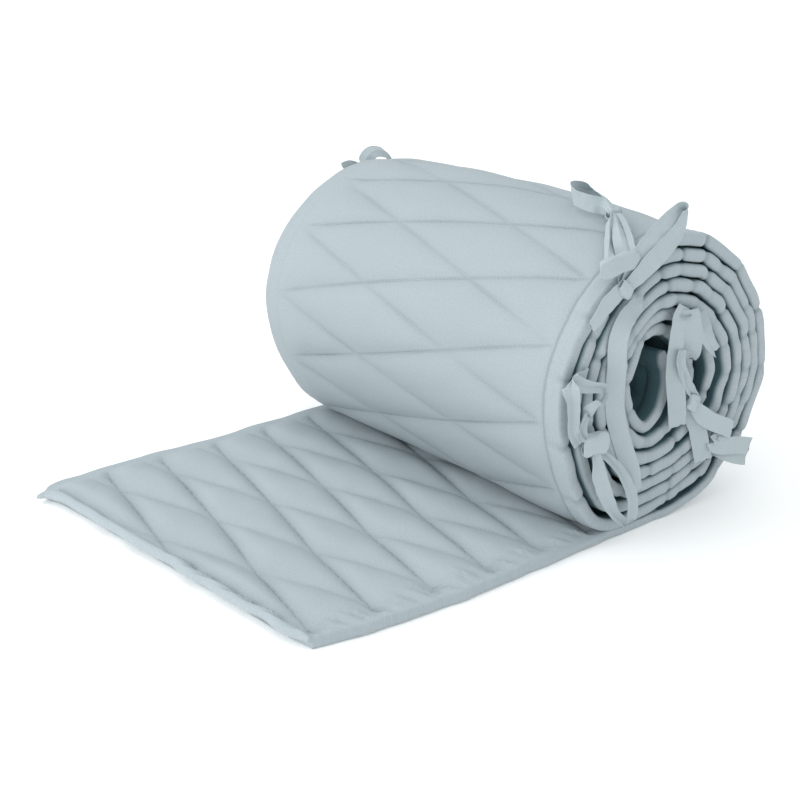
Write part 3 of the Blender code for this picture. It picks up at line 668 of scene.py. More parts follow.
    def drawn_in(self, u: np.ndarray, v: np.ndarray) -> np.ndarray:
        """Return how far the edges are pulled in or pushed out across the strip."""
        near, far = (np.exp(-edge / self.drawn_reach) for edge in (v, STRIP_WIDTH - v))
        narrow, wide = self.edge_pinch(u, np.zeros((len(u), 1)))
        tail = self.quilting.tail_share(u)[:, None]
        along = u[:, None]
        rough = 0.5 * uneven(along, 38.0, 0.4) + (1 - tail) * (0.9 * uneven(along, 130.0, 2.2))
        bows = [np.array(rows, float) for rows in (self.near_bow, self.far_bow)]
        near_out, far_out = [smooth_curve(bow[:, 0], bow[:, 1], np.clip(u, 0.0, bow[-1, 0])) for bow in bows]
        pillow = (1 - tail) * (0.45 * uneven(along, 31.0, 1.7))
        near_in = (1.1 * narrow + 0.2 * wide) * (1 - 0.5 * tail) - rough - pillow
        moved = near * near_in - far * (0.5 * uneven(along, 42.0, 1.9))
        moved = moved - np.exp(-v / self.bow_reach) * near_out[:, None]
        return moved + np.exp(-(STRIP_WIDTH - v) / self.bow_reach) * far_out[:, None]

    @staticmethod
    def bent_corner(u: np.ndarray, v: np.ndarray, placed: np.ndarray) -> np.ndarray:
        """Pull the flat end's far corner round to a small pointed ear, as in the photograph."""
        away = np.hypot(u[:, None], STRIP_WIDTH - v)
        pull = np.exp(-((away / 15.0) ** 2))
        tip = np.exp(-((away / 5.0) ** 2))
        placed[:, :, 0] -= 4.5 * pull + 4.0 * tip
        placed[:, :, 1] -= 9.0 * pull + 1.0 * tip
        placed[:, :, 2] = np.maximum(placed[:, :, 2] - 1.5 * pull, 0.02)
        return placed


@dataclass
class Bumper:
    """The whole quilted strip as one closed mesh, fine where it shows and coarse inside the roll."""

    path: Winding
    quilting: Quilting
    shape: StripShape
    tail_step: float = 2.7
    roll_step: float = 2.9
    inner_step: float = 3.4
    fine_step: float = 2.6
    tail_end: float = 318.0
    edge_insets: tuple[float, ...] = (
        0.0, 0.12, 0.4, 0.9, 1.6, 2.5, 3.6, 5.2, 7.2, 9.2, 11.0, 12.6, 13.8, 14.7, 15.5, 16.2, 17.2, 18.6,
        20.4,
    )
    rim_insets: tuple[float, ...] = (0.0, 0.15, 0.6, 1.6, 3.6, 6.5, 10.0, 13.3, 15.5, 18.5, 25.0, 55.0, 100.0)

    def stations(self) -> np.ndarray:
        """Return the distances of the mesh's lines along the strip."""
        end = np.concatenate([self.edge_insets[:15], [16.4]])
        flat = np.arange(18.5, self.tail_end, self.tail_step)
        round_end = self.path.distance_at(395.0)
        roll = np.arange(flat[-1] + self.tail_step, round_end, self.roll_step)
        inner = np.arange(roll[-1] + self.inner_step, self.path.length - 5.0, self.inner_step)
        close = self.path.length - np.array([3.6, 1.6, 0.6, 0.15, 0.0])
        return np.concatenate([end, flat, roll, inner, close])

    def fine_columns(self) -> np.ndarray:
        """Return the distances across the strip of a fine line of points."""
        near = np.array(self.edge_insets)
        count = int((STRIP_WIDTH - 2 * near[-1]) / self.fine_step)
        middle = np.linspace(near[-1], STRIP_WIDTH - near[-1], count)
        return np.concatenate([near, middle[1:-1], STRIP_WIDTH - near[::-1]])

    def rim_columns(self) -> np.ndarray:
        """Return the distances across the strip of a line that is fine at the edges alone."""
        near = np.array(self.rim_insets)
        return np.concatenate([near, [STRIP_WIDTH / 2], STRIP_WIDTH - near[::-1]])

    def is_fine(self, u: float, side: Side) -> bool:
        """Return whether a line of the mesh shows over the strip's whole width."""
        if side is Side.INNER:
            return u < self.tail_end
        return 300.0 < u < self.path.distance_at(392.0)

    def build(self) -> bpy.types.Object:
        """Build the strip's mesh.

        Returns:
            The closed mesh object, with UVs in metres along and across the strip.
        """
        fine, rim = self.fine_columns(), self.rim_columns()
        stations = self.stations()
        verts: list[np.ndarray] = []
        marks: list[Marks] = []
        places: list[np.ndarray] = []
        rows: dict[Side, list[np.ndarray]] = {}
        total = 0
        for side in Side:
            layouts = {is_fine: self.shape.surface(stations, columns, side)
                       for is_fine, columns in ((True, fine), (False, rim))}
            rows[side] = []
            for index, u in enumerate(stations):
                is_fine = self.is_fine(float(u), side)
                columns = fine if is_fine else rim
                points, layout_marks = layouts[is_fine]
                verts.append(points[index])
                marks.append(Marks(*(values[index] for values in layout_marks)))
                places.append(np.stack([np.full(len(columns), u), columns], axis=1))
                rows[side].append(np.arange(total, total + len(columns)))
                total += len(columns)
        place = np.concatenate(places)
        faces: list[tuple[int, ...]] = []
        for side in Side:
            for row, following in zip(rows[side], rows[side][1:]):
                faces += self.join(row, following, place[:, 1], side is Side.INNER)
        for index in range(len(stations) - 1):
            for end in (0, -1):
                near, near_next = rows[Side.OUTER][index][end], rows[Side.OUTER][index + 1][end]
                top, top_next = rows[Side.INNER][index][end], rows[Side.INNER][index + 1][end]
                wall = (near, near_next, top_next, top)
                faces.append(wall if end == 0 else wall[::-1])
        joined = Marks(*(np.concatenate(values) for values in zip(*marks)))
        return self.finish(np.concatenate(verts), faces, place, joined)

    @staticmethod
    def join(row: np.ndarray, following: np.ndarray, across: np.ndarray,
             inner: bool) -> list[tuple[int, ...]]:
        """Fill between two lines of points.

        Args:
            row: the first line's points.
            following: the next line's points, which may be more or fewer.
            across: every point's distance across the strip.
            inner: whether the faces look towards the roll's inside.

        Returns:
            The faces, as tuples of point numbers.
        """
        if len(row) == len(following):
            quads = np.stack([row[:-1], following[:-1], following[1:], row[1:]], axis=1)
            return [tuple(quad) for quad in (quads if inner else quads[:, ::-1]).tolist()]
        faces = []
        i = j = 0
        last_i, last_j = len(row) - 1, len(following) - 1
        while i < last_i or j < last_j:
            if j == last_j or (i < last_i and across[row[i + 1]] <= across[following[j + 1]]):
                face = (int(row[i]), int(following[j]), int(row[i + 1]))
                i += 1
            else:
                face = (int(row[i]), int(following[j]), int(following[j + 1]))
                j += 1
            faces.append(face if inner else face[::-1])
        return faces

    @staticmethod
    def finish(verts: np.ndarray, faces: list[tuple[int, ...]], place: np.ndarray,
               marks: Marks) -> bpy.types.Object:
        """Make the mesh object, write its UVs and attributes, and close its edges."""
        mesh = bpy.data.meshes.new("quilted_strip")
        mesh.from_pydata((verts * METRE).tolist(), [], faces)
        for name in ("strong_line", "weak_line", "border_gap", "border_share", "buried"):
            mark = mesh.attributes.new(name, "FLOAT", "POINT")
            mark.data.foreach_set("value", getattr(marks, name).astype(np.float32))
        corner = np.zeros(len(mesh.loops), dtype=np.int32)
        mesh.loops.foreach_get("vertex_index", corner)
        numbers = np.stack([marks.rising, marks.falling], axis=1)
        for name, values in (("along_across", place * METRE), ("diamonds", numbers)):
            uv = mesh.uv_layers.new(name=name)
            uv.data.foreach_set("uv", values[corner].astype(np.float32).ravel())
        work = bmesh.new()
        work.from_mesh(mesh)
        bmesh.ops.remove_doubles(work, verts=work.verts, dist=2e-6)
        bmesh.ops.dissolve_degenerate(work, edges=work.edges, dist=1e-7)
        work.to_mesh(mesh)
        work.free()
        mesh.shade_smooth()
        item = bpy.data.objects.new("quilted_strip", mesh)
        bpy.context.scene.collection.objects.link(item)
        return item


@dataclass
class Stitching:
    """The quilting thread: short stitches laid along the diamonds' sewn lines, wherever these show clearly
    enough.
    """

    shape: StripShape
    pitch: float = 0.0032
    stitch: float = 0.0023
    thread: float = 0.00026
    raised: float = 0.02
    least_share: float = 0.28

    def lines(self, bumper: Bumper) -> tuple[list[np.ndarray], list[tuple[int, int]]]:
        """Trace the sewn lines over the strip's two faces.

        Args:
            bumper: the strip, for its lines of points and for which of them show.

        Returns:
            The points, in millimetres, and the pairs that are joined.
        """
        stations, columns = bumper.stations(), bumper.fine_columns()
        path = self.shape.path
        verts: list[np.ndarray] = []
        edges: list[tuple[int, int]] = []
        for side in Side:
            shows = np.array([bumper.is_fine(float(u), side) for u in stations])
            placed, marks = self.shape.surface(stations[shows], columns, side)
            inward = path.at(stations[shows])[1] * (self.raised if side is Side.INNER else -self.raised)
            placed[:, :, 0] += inward[:, :1]
            placed[:, :, 2] += inward[:, 1:]
            for numbers, share in ((marks.rising, marks.strong_line), (marks.falling, marks.weak_line)):
                for whole in range(math.ceil(numbers.min()), math.floor(numbers.max()) + 1):
                    last = -1
                    for j in range(len(columns)):
                        column = numbers[:, j]
                        crosses = column[0] <= whole <= column[-1]
                        if not crosses or np.interp(whole, column, share[:, j]) < self.least_share:
                            last = -1
                            continue
                        verts.append(np.array([np.interp(whole, column, placed[:, j, k]) for k in range(3)]))
                        if last >= 0:
                            edges.append((last, len(verts) - 1))
                        last = len(verts) - 1
        return verts, edges

    def tree(self, material: bpy.types.Material) -> tuple[bpy.types.NodeTree, dict[str, str]]:
        """Build the nodes that set a stitch at every step along the sewn lines.

        Args:
            material: the thread's finish.

        Returns:
            The node tree, and the identifier of each named input.
        """
        tree = bpy.data.node_groups.new("stitches", "GeometryNodeTree")
        tree.interface.new_socket("Geometry", in_out="INPUT", socket_type="NodeSocketGeometry")
        names = {}
        for name in ("Pitch", "Stitch", "Thread"):
            entry = tree.interface.new_socket(name, in_out="INPUT", socket_type="NodeSocketFloat")
            names[name] = entry.identifier
        tree.interface.new_socket("Geometry", in_out="OUTPUT", socket_type="NodeSocketGeometry")

        def add(kind: str, links: dict[object, bpy.types.NodeSocket], **settings: object) -> bpy.types.Node:
            """Add a node, set its properties and link its inputs."""
            node = tree.nodes.new(kind)
            for key, value in settings.items():
                setattr(node, key, value)
            for key, socket in links.items():
                tree.links.new(socket, node.inputs[key])
            return node

        given = add("NodeGroupInput", {})
        curve = add("GeometryNodeMeshToCurve", {0: given.outputs["Geometry"]})
        spaced = {0: curve.outputs[0], "Length": given.outputs["Pitch"]}
        steps = add("GeometryNodeResampleCurve", spaced, mode="LENGTH")
        ball = add("GeometryNodeMeshUVSphere", {})
        ball.inputs["Segments"].default_value = 5
        ball.inputs["Rings"].default_value = 4
        ball.inputs["Radius"].default_value = 1.0
        sizes = [given.outputs[name] for name in ("Thread", "Thread", "Stitch")]
        size = add("ShaderNodeCombineXYZ", dict(enumerate(sizes)))
        stitch = add("GeometryNodeTransform", {"Geometry": ball.outputs[0], "Scale": size.outputs[0]})
        tangent = add("GeometryNodeInputTangent", {})
        turned = add("FunctionNodeAlignRotationToVector", {"Vector": tangent.outputs[0]}, axis="Z")
        sown = {"Points": steps.outputs[0], "Instance": stitch.outputs[0], "Rotation": turned.outputs[0]}
        placed = add("GeometryNodeInstanceOnPoints", sown)
        real = add("GeometryNodeRealizeInstances", {0: placed.outputs[0]})
        finished = add("GeometryNodeSetMaterial", {"Geometry": real.outputs[0]})
        finished.inputs["Material"].default_value = material
        add("NodeGroupOutput", {0: finished.outputs[0]})
        return tree, names

    def build(self, bumper: Bumper, material: bpy.types.Material) -> bpy.types.Object:
        """Build all the stitches as one piece.

        Args:
            bumper: the strip that is stitched.
            material: the thread's finish.

        Returns:
            The mesh object.
        """
        verts, edges = self.lines(bumper)
        mesh = bpy.data.meshes.new("sewn_lines")
        mesh.from_pydata([(point * METRE).tolist() for point in verts], edges, [])
        lines = bpy.data.objects.new("sewn_lines", mesh)
        bpy.context.scene.collection.objects.link(lines)
        modifier = lines.modifiers.new("stitches", "NODES")
        modifier.node_group, names = self.tree(material)
        for name, value in (("Pitch", self.pitch), ("Stitch", self.stitch / 2), ("Thread", self.thread)):
            modifier[names[name]] = value
        bpy.context.view_layer.update()
        made = bpy.data.meshes.new_from_object(lines.evaluated_get(bpy.context.evaluated_depsgraph_get()))
        lines.modifiers.remove(modifier)
        bpy.data.objects.remove(lines)
        item = bpy.data.objects.new("quilting_stitches", made)
        bpy.context.scene.collection.objects.link(item)
        return item


class Spot(NamedTuple):
    """A point on a ribbon's middle line, from the roll's axis and out from the strip's edge.

    The wide parts give the direction of the ribbon's width there, and the share says how much of it shows.
    """

    x: float
    z: float
    out: float
    wide_x: float
    wide_z: float
    wide_out: float
    share: float = 1.0


class Knot(NamedTuple):
    """A wrapped knot: its middle, its three sizes, and how far its length is turned up from +X."""

    x: float
    z: float
    out: float
    length: float
    height: float
    depth: float
    turn: float


@dataclass
class RibbonTie:
    """One tied ribbon: its loops and tails as folded tape, and its wrapped knots."""

    node: str
    end: End
    turn: float
    knots: list[Knot]
    ribbons: list[list[Spot]]
    width: float = 12.0
    thick: float = 0.5
    spans: int = 8
    sewn: tuple[float, float] = (-1.5, 2.8)
    profile: tuple[tuple[float, float], ...] = (
        (-1.0, 0.8), (-0.97, 0.9), (-0.88, 0.9), (-0.85, 0.7), (-0.4, 0.7), (-0.05, 0.7), (0.0, 0.7),
        (0.05, 0.7), (0.4, 0.7), (0.85, 0.7), (0.88, 0.9), (0.97, 0.9), (1.0, 0.8),
    )
    length: float = field(default=0.0, init=False)

    def ribbon(self, spots: Sequence[Spot], verts: list[np.ndarray], faces: list[tuple[int, ...]],
               places: list[np.ndarray]) -> None:
        """Add one ribbon's closed tape to the tie's mesh.

        Args:
            spots: the points of its middle line.
            verts: the tie's points so far, which it adds to.
            faces: the tie's faces so far, which it adds to.
            places: each point's distance along and across the ribbon, which it adds to.
        """
        table = np.array(spots, float)
        count = (len(spots) - 1) * self.spans + 1
        rows = smooth_curve(np.arange(len(spots), dtype=float), table, np.linspace(0, len(spots) - 1, count))
        centre = np.stack([rows[:, 0], -rows[:, 2], rows[:, 1]], axis=1)
        along = np.gradient(centre, axis=0)
        along /= np.linalg.norm(along, axis=1)[:, None]
        wide = np.stack([rows[:, 3], -rows[:, 5], rows[:, 4]], axis=1)
        wide -= along * np.sum(wide * along, axis=1)[:, None]
        wide /= np.linalg.norm(wide, axis=1)[:, None]
        thick = np.cross(along, wide)
        share = np.clip(rows[:, 6], 0.3, 1.0)[:, None]
        places_across = np.array([row[0] for row in self.profile])
        fullness = np.array([row[1] for row in self.profile])
        cup = np.sqrt(1.0 - share**2) * self.width * 0.26
        steps = np.concatenate([[0.0], np.cumsum(np.linalg.norm(np.diff(centre, axis=0), axis=1))])
        wave = 0.35 * uneven(steps[:, None] + 2.0 * places_across, 13.0, table[0, 0])
        lift = cup * (np.abs(places_across) - 0.5) + wave * (0.3 + 0.7 * np.abs(places_across))
        rings = []
        for sign in (1.0, -1.0):
            height = lift + sign * fullness * self.thick / 2
            across = share * self.width / 2 * places_across
            points = (centre[:, None, :] + wide[:, None, :] * across[:, :, None]
                      + thick[:, None, :] * height[:, :, None])
            cut = 0.9 * uneven(places_across * 7.0 + table[-1, 0], 5.0, table[-1, 1])
            points[-1] += along[-1] * cut[:, None]
            rings.append(points if sign > 0 else points[:, ::-1])
        ring = np.concatenate(rings, axis=1)
        around = ring.shape[1]
        start = sum(len(chunk) for chunk in verts)
        verts.append(ring.reshape(-1, 3))
        both_faces = np.concatenate([places_across, places_across[::-1]])
        place = np.stack(np.broadcast_arrays(steps[:, None], both_faces), axis=2)
        places.append(place.reshape(-1, 2) * np.array([1.0, self.width / 2]))
        for i in range(count - 1):
            for k in range(around):
                a, b = start + i * around + k, start + i * around + (k + 1) % around
                faces.append((a, b, b + around, a + around))
        faces.append(tuple(range(start + around - 1, start - 1, -1)))
        last = start + (count - 1) * around
        faces.append(tuple(range(last, last + around)))
        self.length += float(steps[-1])

    def knot(self, knot: Knot, verts: list[np.ndarray], faces: list[tuple[int, ...]],
             places: list[np.ndarray]) -> None:
        """Add one knot, a turn of the ribbon wrapped about the others, as a closed and dented sleeve."""
        around, rings = 28, 11
        turned = math.radians(knot.turn)
        along = np.array([math.cos(turned), 0.0, math.sin(turned)])
        up = np.array([-math.sin(turned), 0.0, math.cos(turned)])
        out = np.array([0.0, -1.0, 0.0])
        centre = np.array([knot.x, -knot.out, knot.z])
        start = sum(len(chunk) for chunk in verts)
        ring_points = []
        shell = [(t, 1.0) for t in np.linspace(-1, 1, rings)] + [(t, 0.80) for t in np.linspace(1, -1, rings)]
        angles = np.arange(around) / around * 2 * math.pi
        for t, scale in shell:
            flare = 1.0 - 0.22 * abs(t) ** 8 + 0.05 * math.sin(5.1 * t + knot.x)
            dent = 1.0 + 0.06 * np.sin(3 * angles + 2.5 * t + knot.z) + 0.04 * np.sin(7 * angles - 3 * t)
            squared = (np.abs(np.cos(angles)) ** 4 + np.abs(np.sin(angles)) ** 4) ** -0.25
            radial = scale * flare * dent * squared
            skew = 0.10 * knot.length * np.sin(angles) * (1 if t > 0 else -1) * t * t
            points = (centre + along * ((t * knot.length / 2) + skew)[:, None]
                      + up * (np.cos(angles) * radial * knot.height / 2)[:, None]
                      + out * (np.sin(angles) * radial * knot.depth / 2)[:, None])
            ring_points.append(points)
        verts.append(np.concatenate(ring_points))
        reach = (knot.height + knot.depth) * 1.6
        place = [np.stack([angles / (2 * math.pi) * reach, np.full(around, t * knot.length / 2)], axis=1)
                 for t, _ in shell]
        places.append(np.concatenate(place))
        count = len(shell)
        for i in range(count):
            first, following = start + i * around, start + (i + 1) % count * around
            for k in range(around):
                after = (k + 1) % around
                faces.append((first + k, following + k, following + after, first + after))
        self.length += reach

    def root(self, path: Winding, following: Spot) -> list[Spot]:
        """Return the ribbon's sewn start, straight out of the strip's edge."""
        angle = 2 * math.pi * self.turn + np.array([-0.02, 0.0, 0.02])
        before, seat, after = path.roll_points(angle) - np.array([AXIS_X, AXIS_Z])
        along = (after - before) / np.linalg.norm(after - before)
        if along @ np.array([following.wide_x, following.wide_z]) < 0:
            along = -along
        shift = float(path.shift(angle[1:2])[0])
        edge = -shift if self.end is End.FAR else shift
        return [Spot(seat[0], seat[1], edge + out, along[0], along[1], 0.0) for out in self.sewn]

    def build(self, path: Winding) -> bpy.types.Object:
        """Build the tie's mesh.

        Args:
            path: the strip's path, which the ribbon is sewn to.

        Returns:
            The mesh object, in the model's frame.
        """
        verts: list[np.ndarray] = []
        faces: list[tuple[int, ...]] = []
        places: list[np.ndarray] = []
        first = self.root(path, self.ribbons[0][0]) + self.ribbons[0]
        for spots in [first] + self.ribbons[1:]:
            self.ribbon(spots, verts, faces, places)
        for knot in self.knots:
            self.knot(knot, verts, faces, places)
        points = np.concatenate(verts)
        if self.end is End.FAR:
            points[:, 1] = STRIP_WIDTH / 2 - points[:, 1]
            faces = [face[::-1] for face in faces]
        else:
            points[:, 1] -= STRIP_WIDTH / 2
        points += np.array([AXIS_X, 0.0, AXIS_Z])
        mesh = bpy.data.meshes.new(self.node + "_ribbon")
        mesh.from_pydata((points * METRE).tolist(), [], faces)
        place = np.concatenate(places)
        corner = np.zeros(len(mesh.loops), dtype=np.int32)
        mesh.loops.foreach_get("vertex_index", corner)
        uv = mesh.uv_layers.new(name="along_across")
        uv.data.foreach_set("uv", (place[corner] * METRE).astype(np.float32).ravel())
        work = bmesh.new()
        work.from_mesh(mesh)
        bmesh.ops.recalc_face_normals(work, faces=work.faces)
        work.to_mesh(mesh)
        work.free()
        mesh.shade_smooth()
        mesh.set_sharp_from_angle(angle=math.radians(38.0))
        item = bpy.data.objects.new(self.node + "_ribbon", mesh)
        bpy.context.scene.collection.objects.link(item)
        return item


class Socket:
    """A shader value that can be used in Python expressions, each of which adds its Math node."""

    def __init__(self, graph: "ShaderGraph", socket: bpy.types.NodeSocket) -> None:
        """Wrap a node's output."""
        self.graph = graph
        self.socket = socket

    def _math(self, operation: str, *values: "Socket | float") -> "Socket":
        """Add a Math node."""
        return self.graph.node("ShaderNodeMath", {"operation": operation}, dict(enumerate(values)))

    def __add__(self, other: "Socket | float") -> "Socket":
        """Add."""
        return self._math("ADD", self, other)

    def __radd__(self, other: float) -> "Socket":
        """Add, from the right."""
        return self._math("ADD", other, self)

    def __sub__(self, other: "Socket | float") -> "Socket":
        """Subtract."""
        return self._math("SUBTRACT", self, other)

    def __rsub__(self, other: float) -> "Socket":
        """Subtract, from the right."""
        return self._math("SUBTRACT", other, self)

    def __mul__(self, other: "Socket | float") -> "Socket":
        """Multiply."""
        return self._math("MULTIPLY", self, other)

    def __rmul__(self, other: float) -> "Socket":
        """Multiply, from the right."""
        return self._math("MULTIPLY", other, self)

    def sine(self) -> "Socket":
        """Return the sine."""
        return self._math("SINE", self)

    def bell(self, width: float) -> "Socket":
        """Return a narrow bell over the value: 1 at nought, and falling to nothing by twice the width."""
        scaled = self * (1 / width)
        return self._math("EXPONENT", 0.0 - scaled * scaled)

    def from_whole(self) -> "Socket":
        """Return the distance from the nearest whole number."""
        return self._math("ABSOLUTE", self._math("FRACT", self + 0.5) - 0.5)

    def larger(self, other: "Socket | float") -> "Socket":
        """Return the larger of two values."""
        return self._math("MAXIMUM", self, other)

    def clamped(self) -> "Socket":
        """Return the value held between 0 and 1."""
        return self.graph.node("ShaderNodeClamp", {}, {"Value": self})


class ShaderGraph:
    """A material's nodes, made one at a time."""

    def __init__(self, name: str) -> None:
        """Start a material with nothing but its surface and output."""
        self.material = bpy.data.materials.new(name)
        self.material.use_nodes = True
        self.tree = self.material.node_tree
        self.surface = self.tree.nodes["Principled BSDF"]

    def node(self, kind: str, settings: dict[str, object], values: dict[object, object],
             output: int | str = 0) -> Socket:
        """Add a node.

        Args:
            kind: the node's type.
            settings: its properties, set before its sockets.
            values: a number, colour or Socket for each input, by name or number.
            output: the output wanted.

        Returns:
            The output, wrapped.
        """
        node = self.tree.nodes.new(kind)
        for name, value in settings.items():
            setattr(node, name, value)
        for key, value in values.items():
            self.feed(node.inputs[key], value)
        return Socket(self, node.outputs[output])

    def feed(self, socket: bpy.types.NodeSocket, value: object) -> None:
        """Link a Socket to an input, or set the input's own value."""
        if isinstance(value, Socket):
            self.tree.links.new(value.socket, socket)
        else:
            socket.default_value = value

    def parts(self, vector: Socket) -> tuple[Socket, Socket]:
        """Return a vector's first two parts."""
        first = self.node("ShaderNodeSeparateXYZ", {}, {0: vector})
        return first, Socket(self, first.socket.node.outputs[1])

    def attribute(self, name: str) -> Socket:
        """Return one of the mesh's own values."""
        return self.node("ShaderNodeAttribute", {"attribute_name": name}, {}, output="Fac")

    def bump(self, strength: float, height: Socket, normal: Socket | None) -> Socket:
        """Return the surface's direction over a height in metres, on top of another if there is one."""
        values = {"Strength": strength, "Distance": 1.0, "Height": height}
        if normal is not None:
            values["Normal"] = normal
        return self.node("ShaderNodeBump", {}, values)

    def mix(self, share: Socket | float, first: object, second: object) -> Socket:
        """Return a colour between two."""
        return self.node("ShaderNodeMix", {"data_type": "RGBA"}, {0: share, 6: first, 7: second}, output=2)


Colour = tuple[float, float, float, float]
Place = tuple[float, float, float]


@dataclass(frozen=True)
class CottonFinish:
    """Fine plain-woven cotton, matt, with its threads, a faint unevenness of dye and soft small creases."""

    name: str
    colour: Colour
    pale: Colour
    # The third colour darkens the random specks, and where quilted it is also the dark teal of the painted
    # shade in seams and gaps.
    speck_and_shade: Colour
    thread: float = 0.00042
    weave_depth: float = 0.00003
    crease_depth: float = 0.0006
    crease_scale: float = 60.0
    cloud_scale: float = 9.0
    speck_scale: float = 900.0
    groove_depth: float = 0.0006
    valley_shade: float = 0.07
    cut_shade: float = 0.20
    buried_shade: float = 0.85
    roughness: float = 0.86

    def cut(self, graph: ShaderGraph) -> Socket | None:
        """Return how deeply stitching cuts into the cloth; plain cloth has none."""
        return None

    def valley(self, graph: ShaderGraph) -> Socket | None:
        """Return how close the cloth is to a sewn line; plain cloth has none."""
        return None

    def material(self) -> bpy.types.Material:
        """Return the finish as a material."""
        graph = ShaderGraph(self.name)
        place = graph.node("ShaderNodeUVMap", {"uv_map": "along_across"}, {})
        along, across = graph.parts(place)
        turn = 2 * math.pi / self.thread
        weave = (along * turn).sine() * (across * turn).sine()
        body = graph.node("ShaderNodeTexCoord", {}, {}, output="Object")
        clouds = {"Vector": body, "Scale": self.cloud_scale, "Detail": 3.0}
        cloud = graph.node("ShaderNodeTexNoise", {}, clouds)
        specks = {"Vector": place, "Scale": self.speck_scale, "Detail": 2.0}
        speck = graph.node("ShaderNodeTexNoise", {}, specks)
        tone = graph.mix(((cloud - 0.5) * 1.6 + 0.5).clamped(), self.colour, self.pale)
        tone = graph.mix(((speck - 0.5) * 0.4 + 0.05).clamped(), tone, self.speck_and_shade)
        creases = {"Vector": body, "Scale": self.crease_scale, "Detail": 4.0, "Roughness": 0.55}
        soft = graph.node("ShaderNodeTexNoise", {}, creases)
        normal = graph.bump(0.5, soft * self.crease_depth, None)
        cut = self.cut(graph)
        if cut is not None:
            # Painted shade: the tone is darkened towards the dark teal in the soft valleys beside the sewn
            # lines, in the stitched grooves and the border seam, and where the strip lies in gaps between
            # turns, inside the eye and at the edge notches.
            tone = graph.mix((self.valley(graph) * self.valley_shade).clamped(), tone, self.speck_and_shade)
            tone = graph.mix((cut * self.cut_shade).clamped(), tone, self.speck_and_shade)
            tone = graph.mix((graph.attribute("buried") * self.buried_shade).clamped(), tone, self.speck_and_shade)
            normal = graph.bump(0.9, (0.0 - cut) * self.groove_depth, normal)
        graph.feed(graph.surface.inputs["Base Color"], tone)
        graph.feed(graph.surface.inputs["Roughness"], self.roughness + (speck - 0.5) * 0.10)
        graph.surface.inputs["Sheen Weight"].default_value = 0.08
        graph.surface.inputs["Sheen Roughness"].default_value = 0.6
        graph.surface.inputs["Specular IOR Level"].default_value = 0.25
        graph.feed(graph.surface.inputs["Normal"], graph.bump(0.6, weave * self.weave_depth, normal))
        return graph.material


@dataclass(frozen=True)
class QuiltedCottonFinish(CottonFinish):
    """The same cotton where it is quilted: painted shade along the stitching, which also cuts a fine groove.
    """

    pitch: float = 42.0

    def near_lines(self, graph: ShaderGraph, strong_width: float, weak_width: float) -> Socket:
        """Return how close the cloth is to a sewn line.

        Args:
            graph: the material's nodes.
            strong_width: the bell's width over the stronger set of lines, in millimetres.
            weak_width: the bell's width over the weaker set.

        Returns:
            The closeness, from 0 to 1.
        """
        rising, falling = graph.parts(graph.node("ShaderNodeUVMap", {"uv_map": "diamonds"}, {}))
        strong = (rising.from_whole() * self.pitch).bell(strong_width) * graph.attribute("strong_line")
        weak = (falling.from_whole() * self.pitch).bell(weak_width) * graph.attribute("weak_line")
        return strong.larger(weak)

    def cut(self, graph: ShaderGraph) -> Socket:
        """Return how deeply stitching cuts into the cloth, from 0 to 1; it also sets the painted shade in the
        grooves.
        """
        border = graph.attribute("border_gap").bell(1.0) * graph.attribute("border_share")
        return self.near_lines(graph, 0.9, 1.5).larger(border)

    def valley(self, graph: ShaderGraph) -> Socket:
        """Return how close the cloth is to a sewn line, for the painted soft shade in the valleys beside it.
        """
        return self.near_lines(graph, 4.0, 5.0)


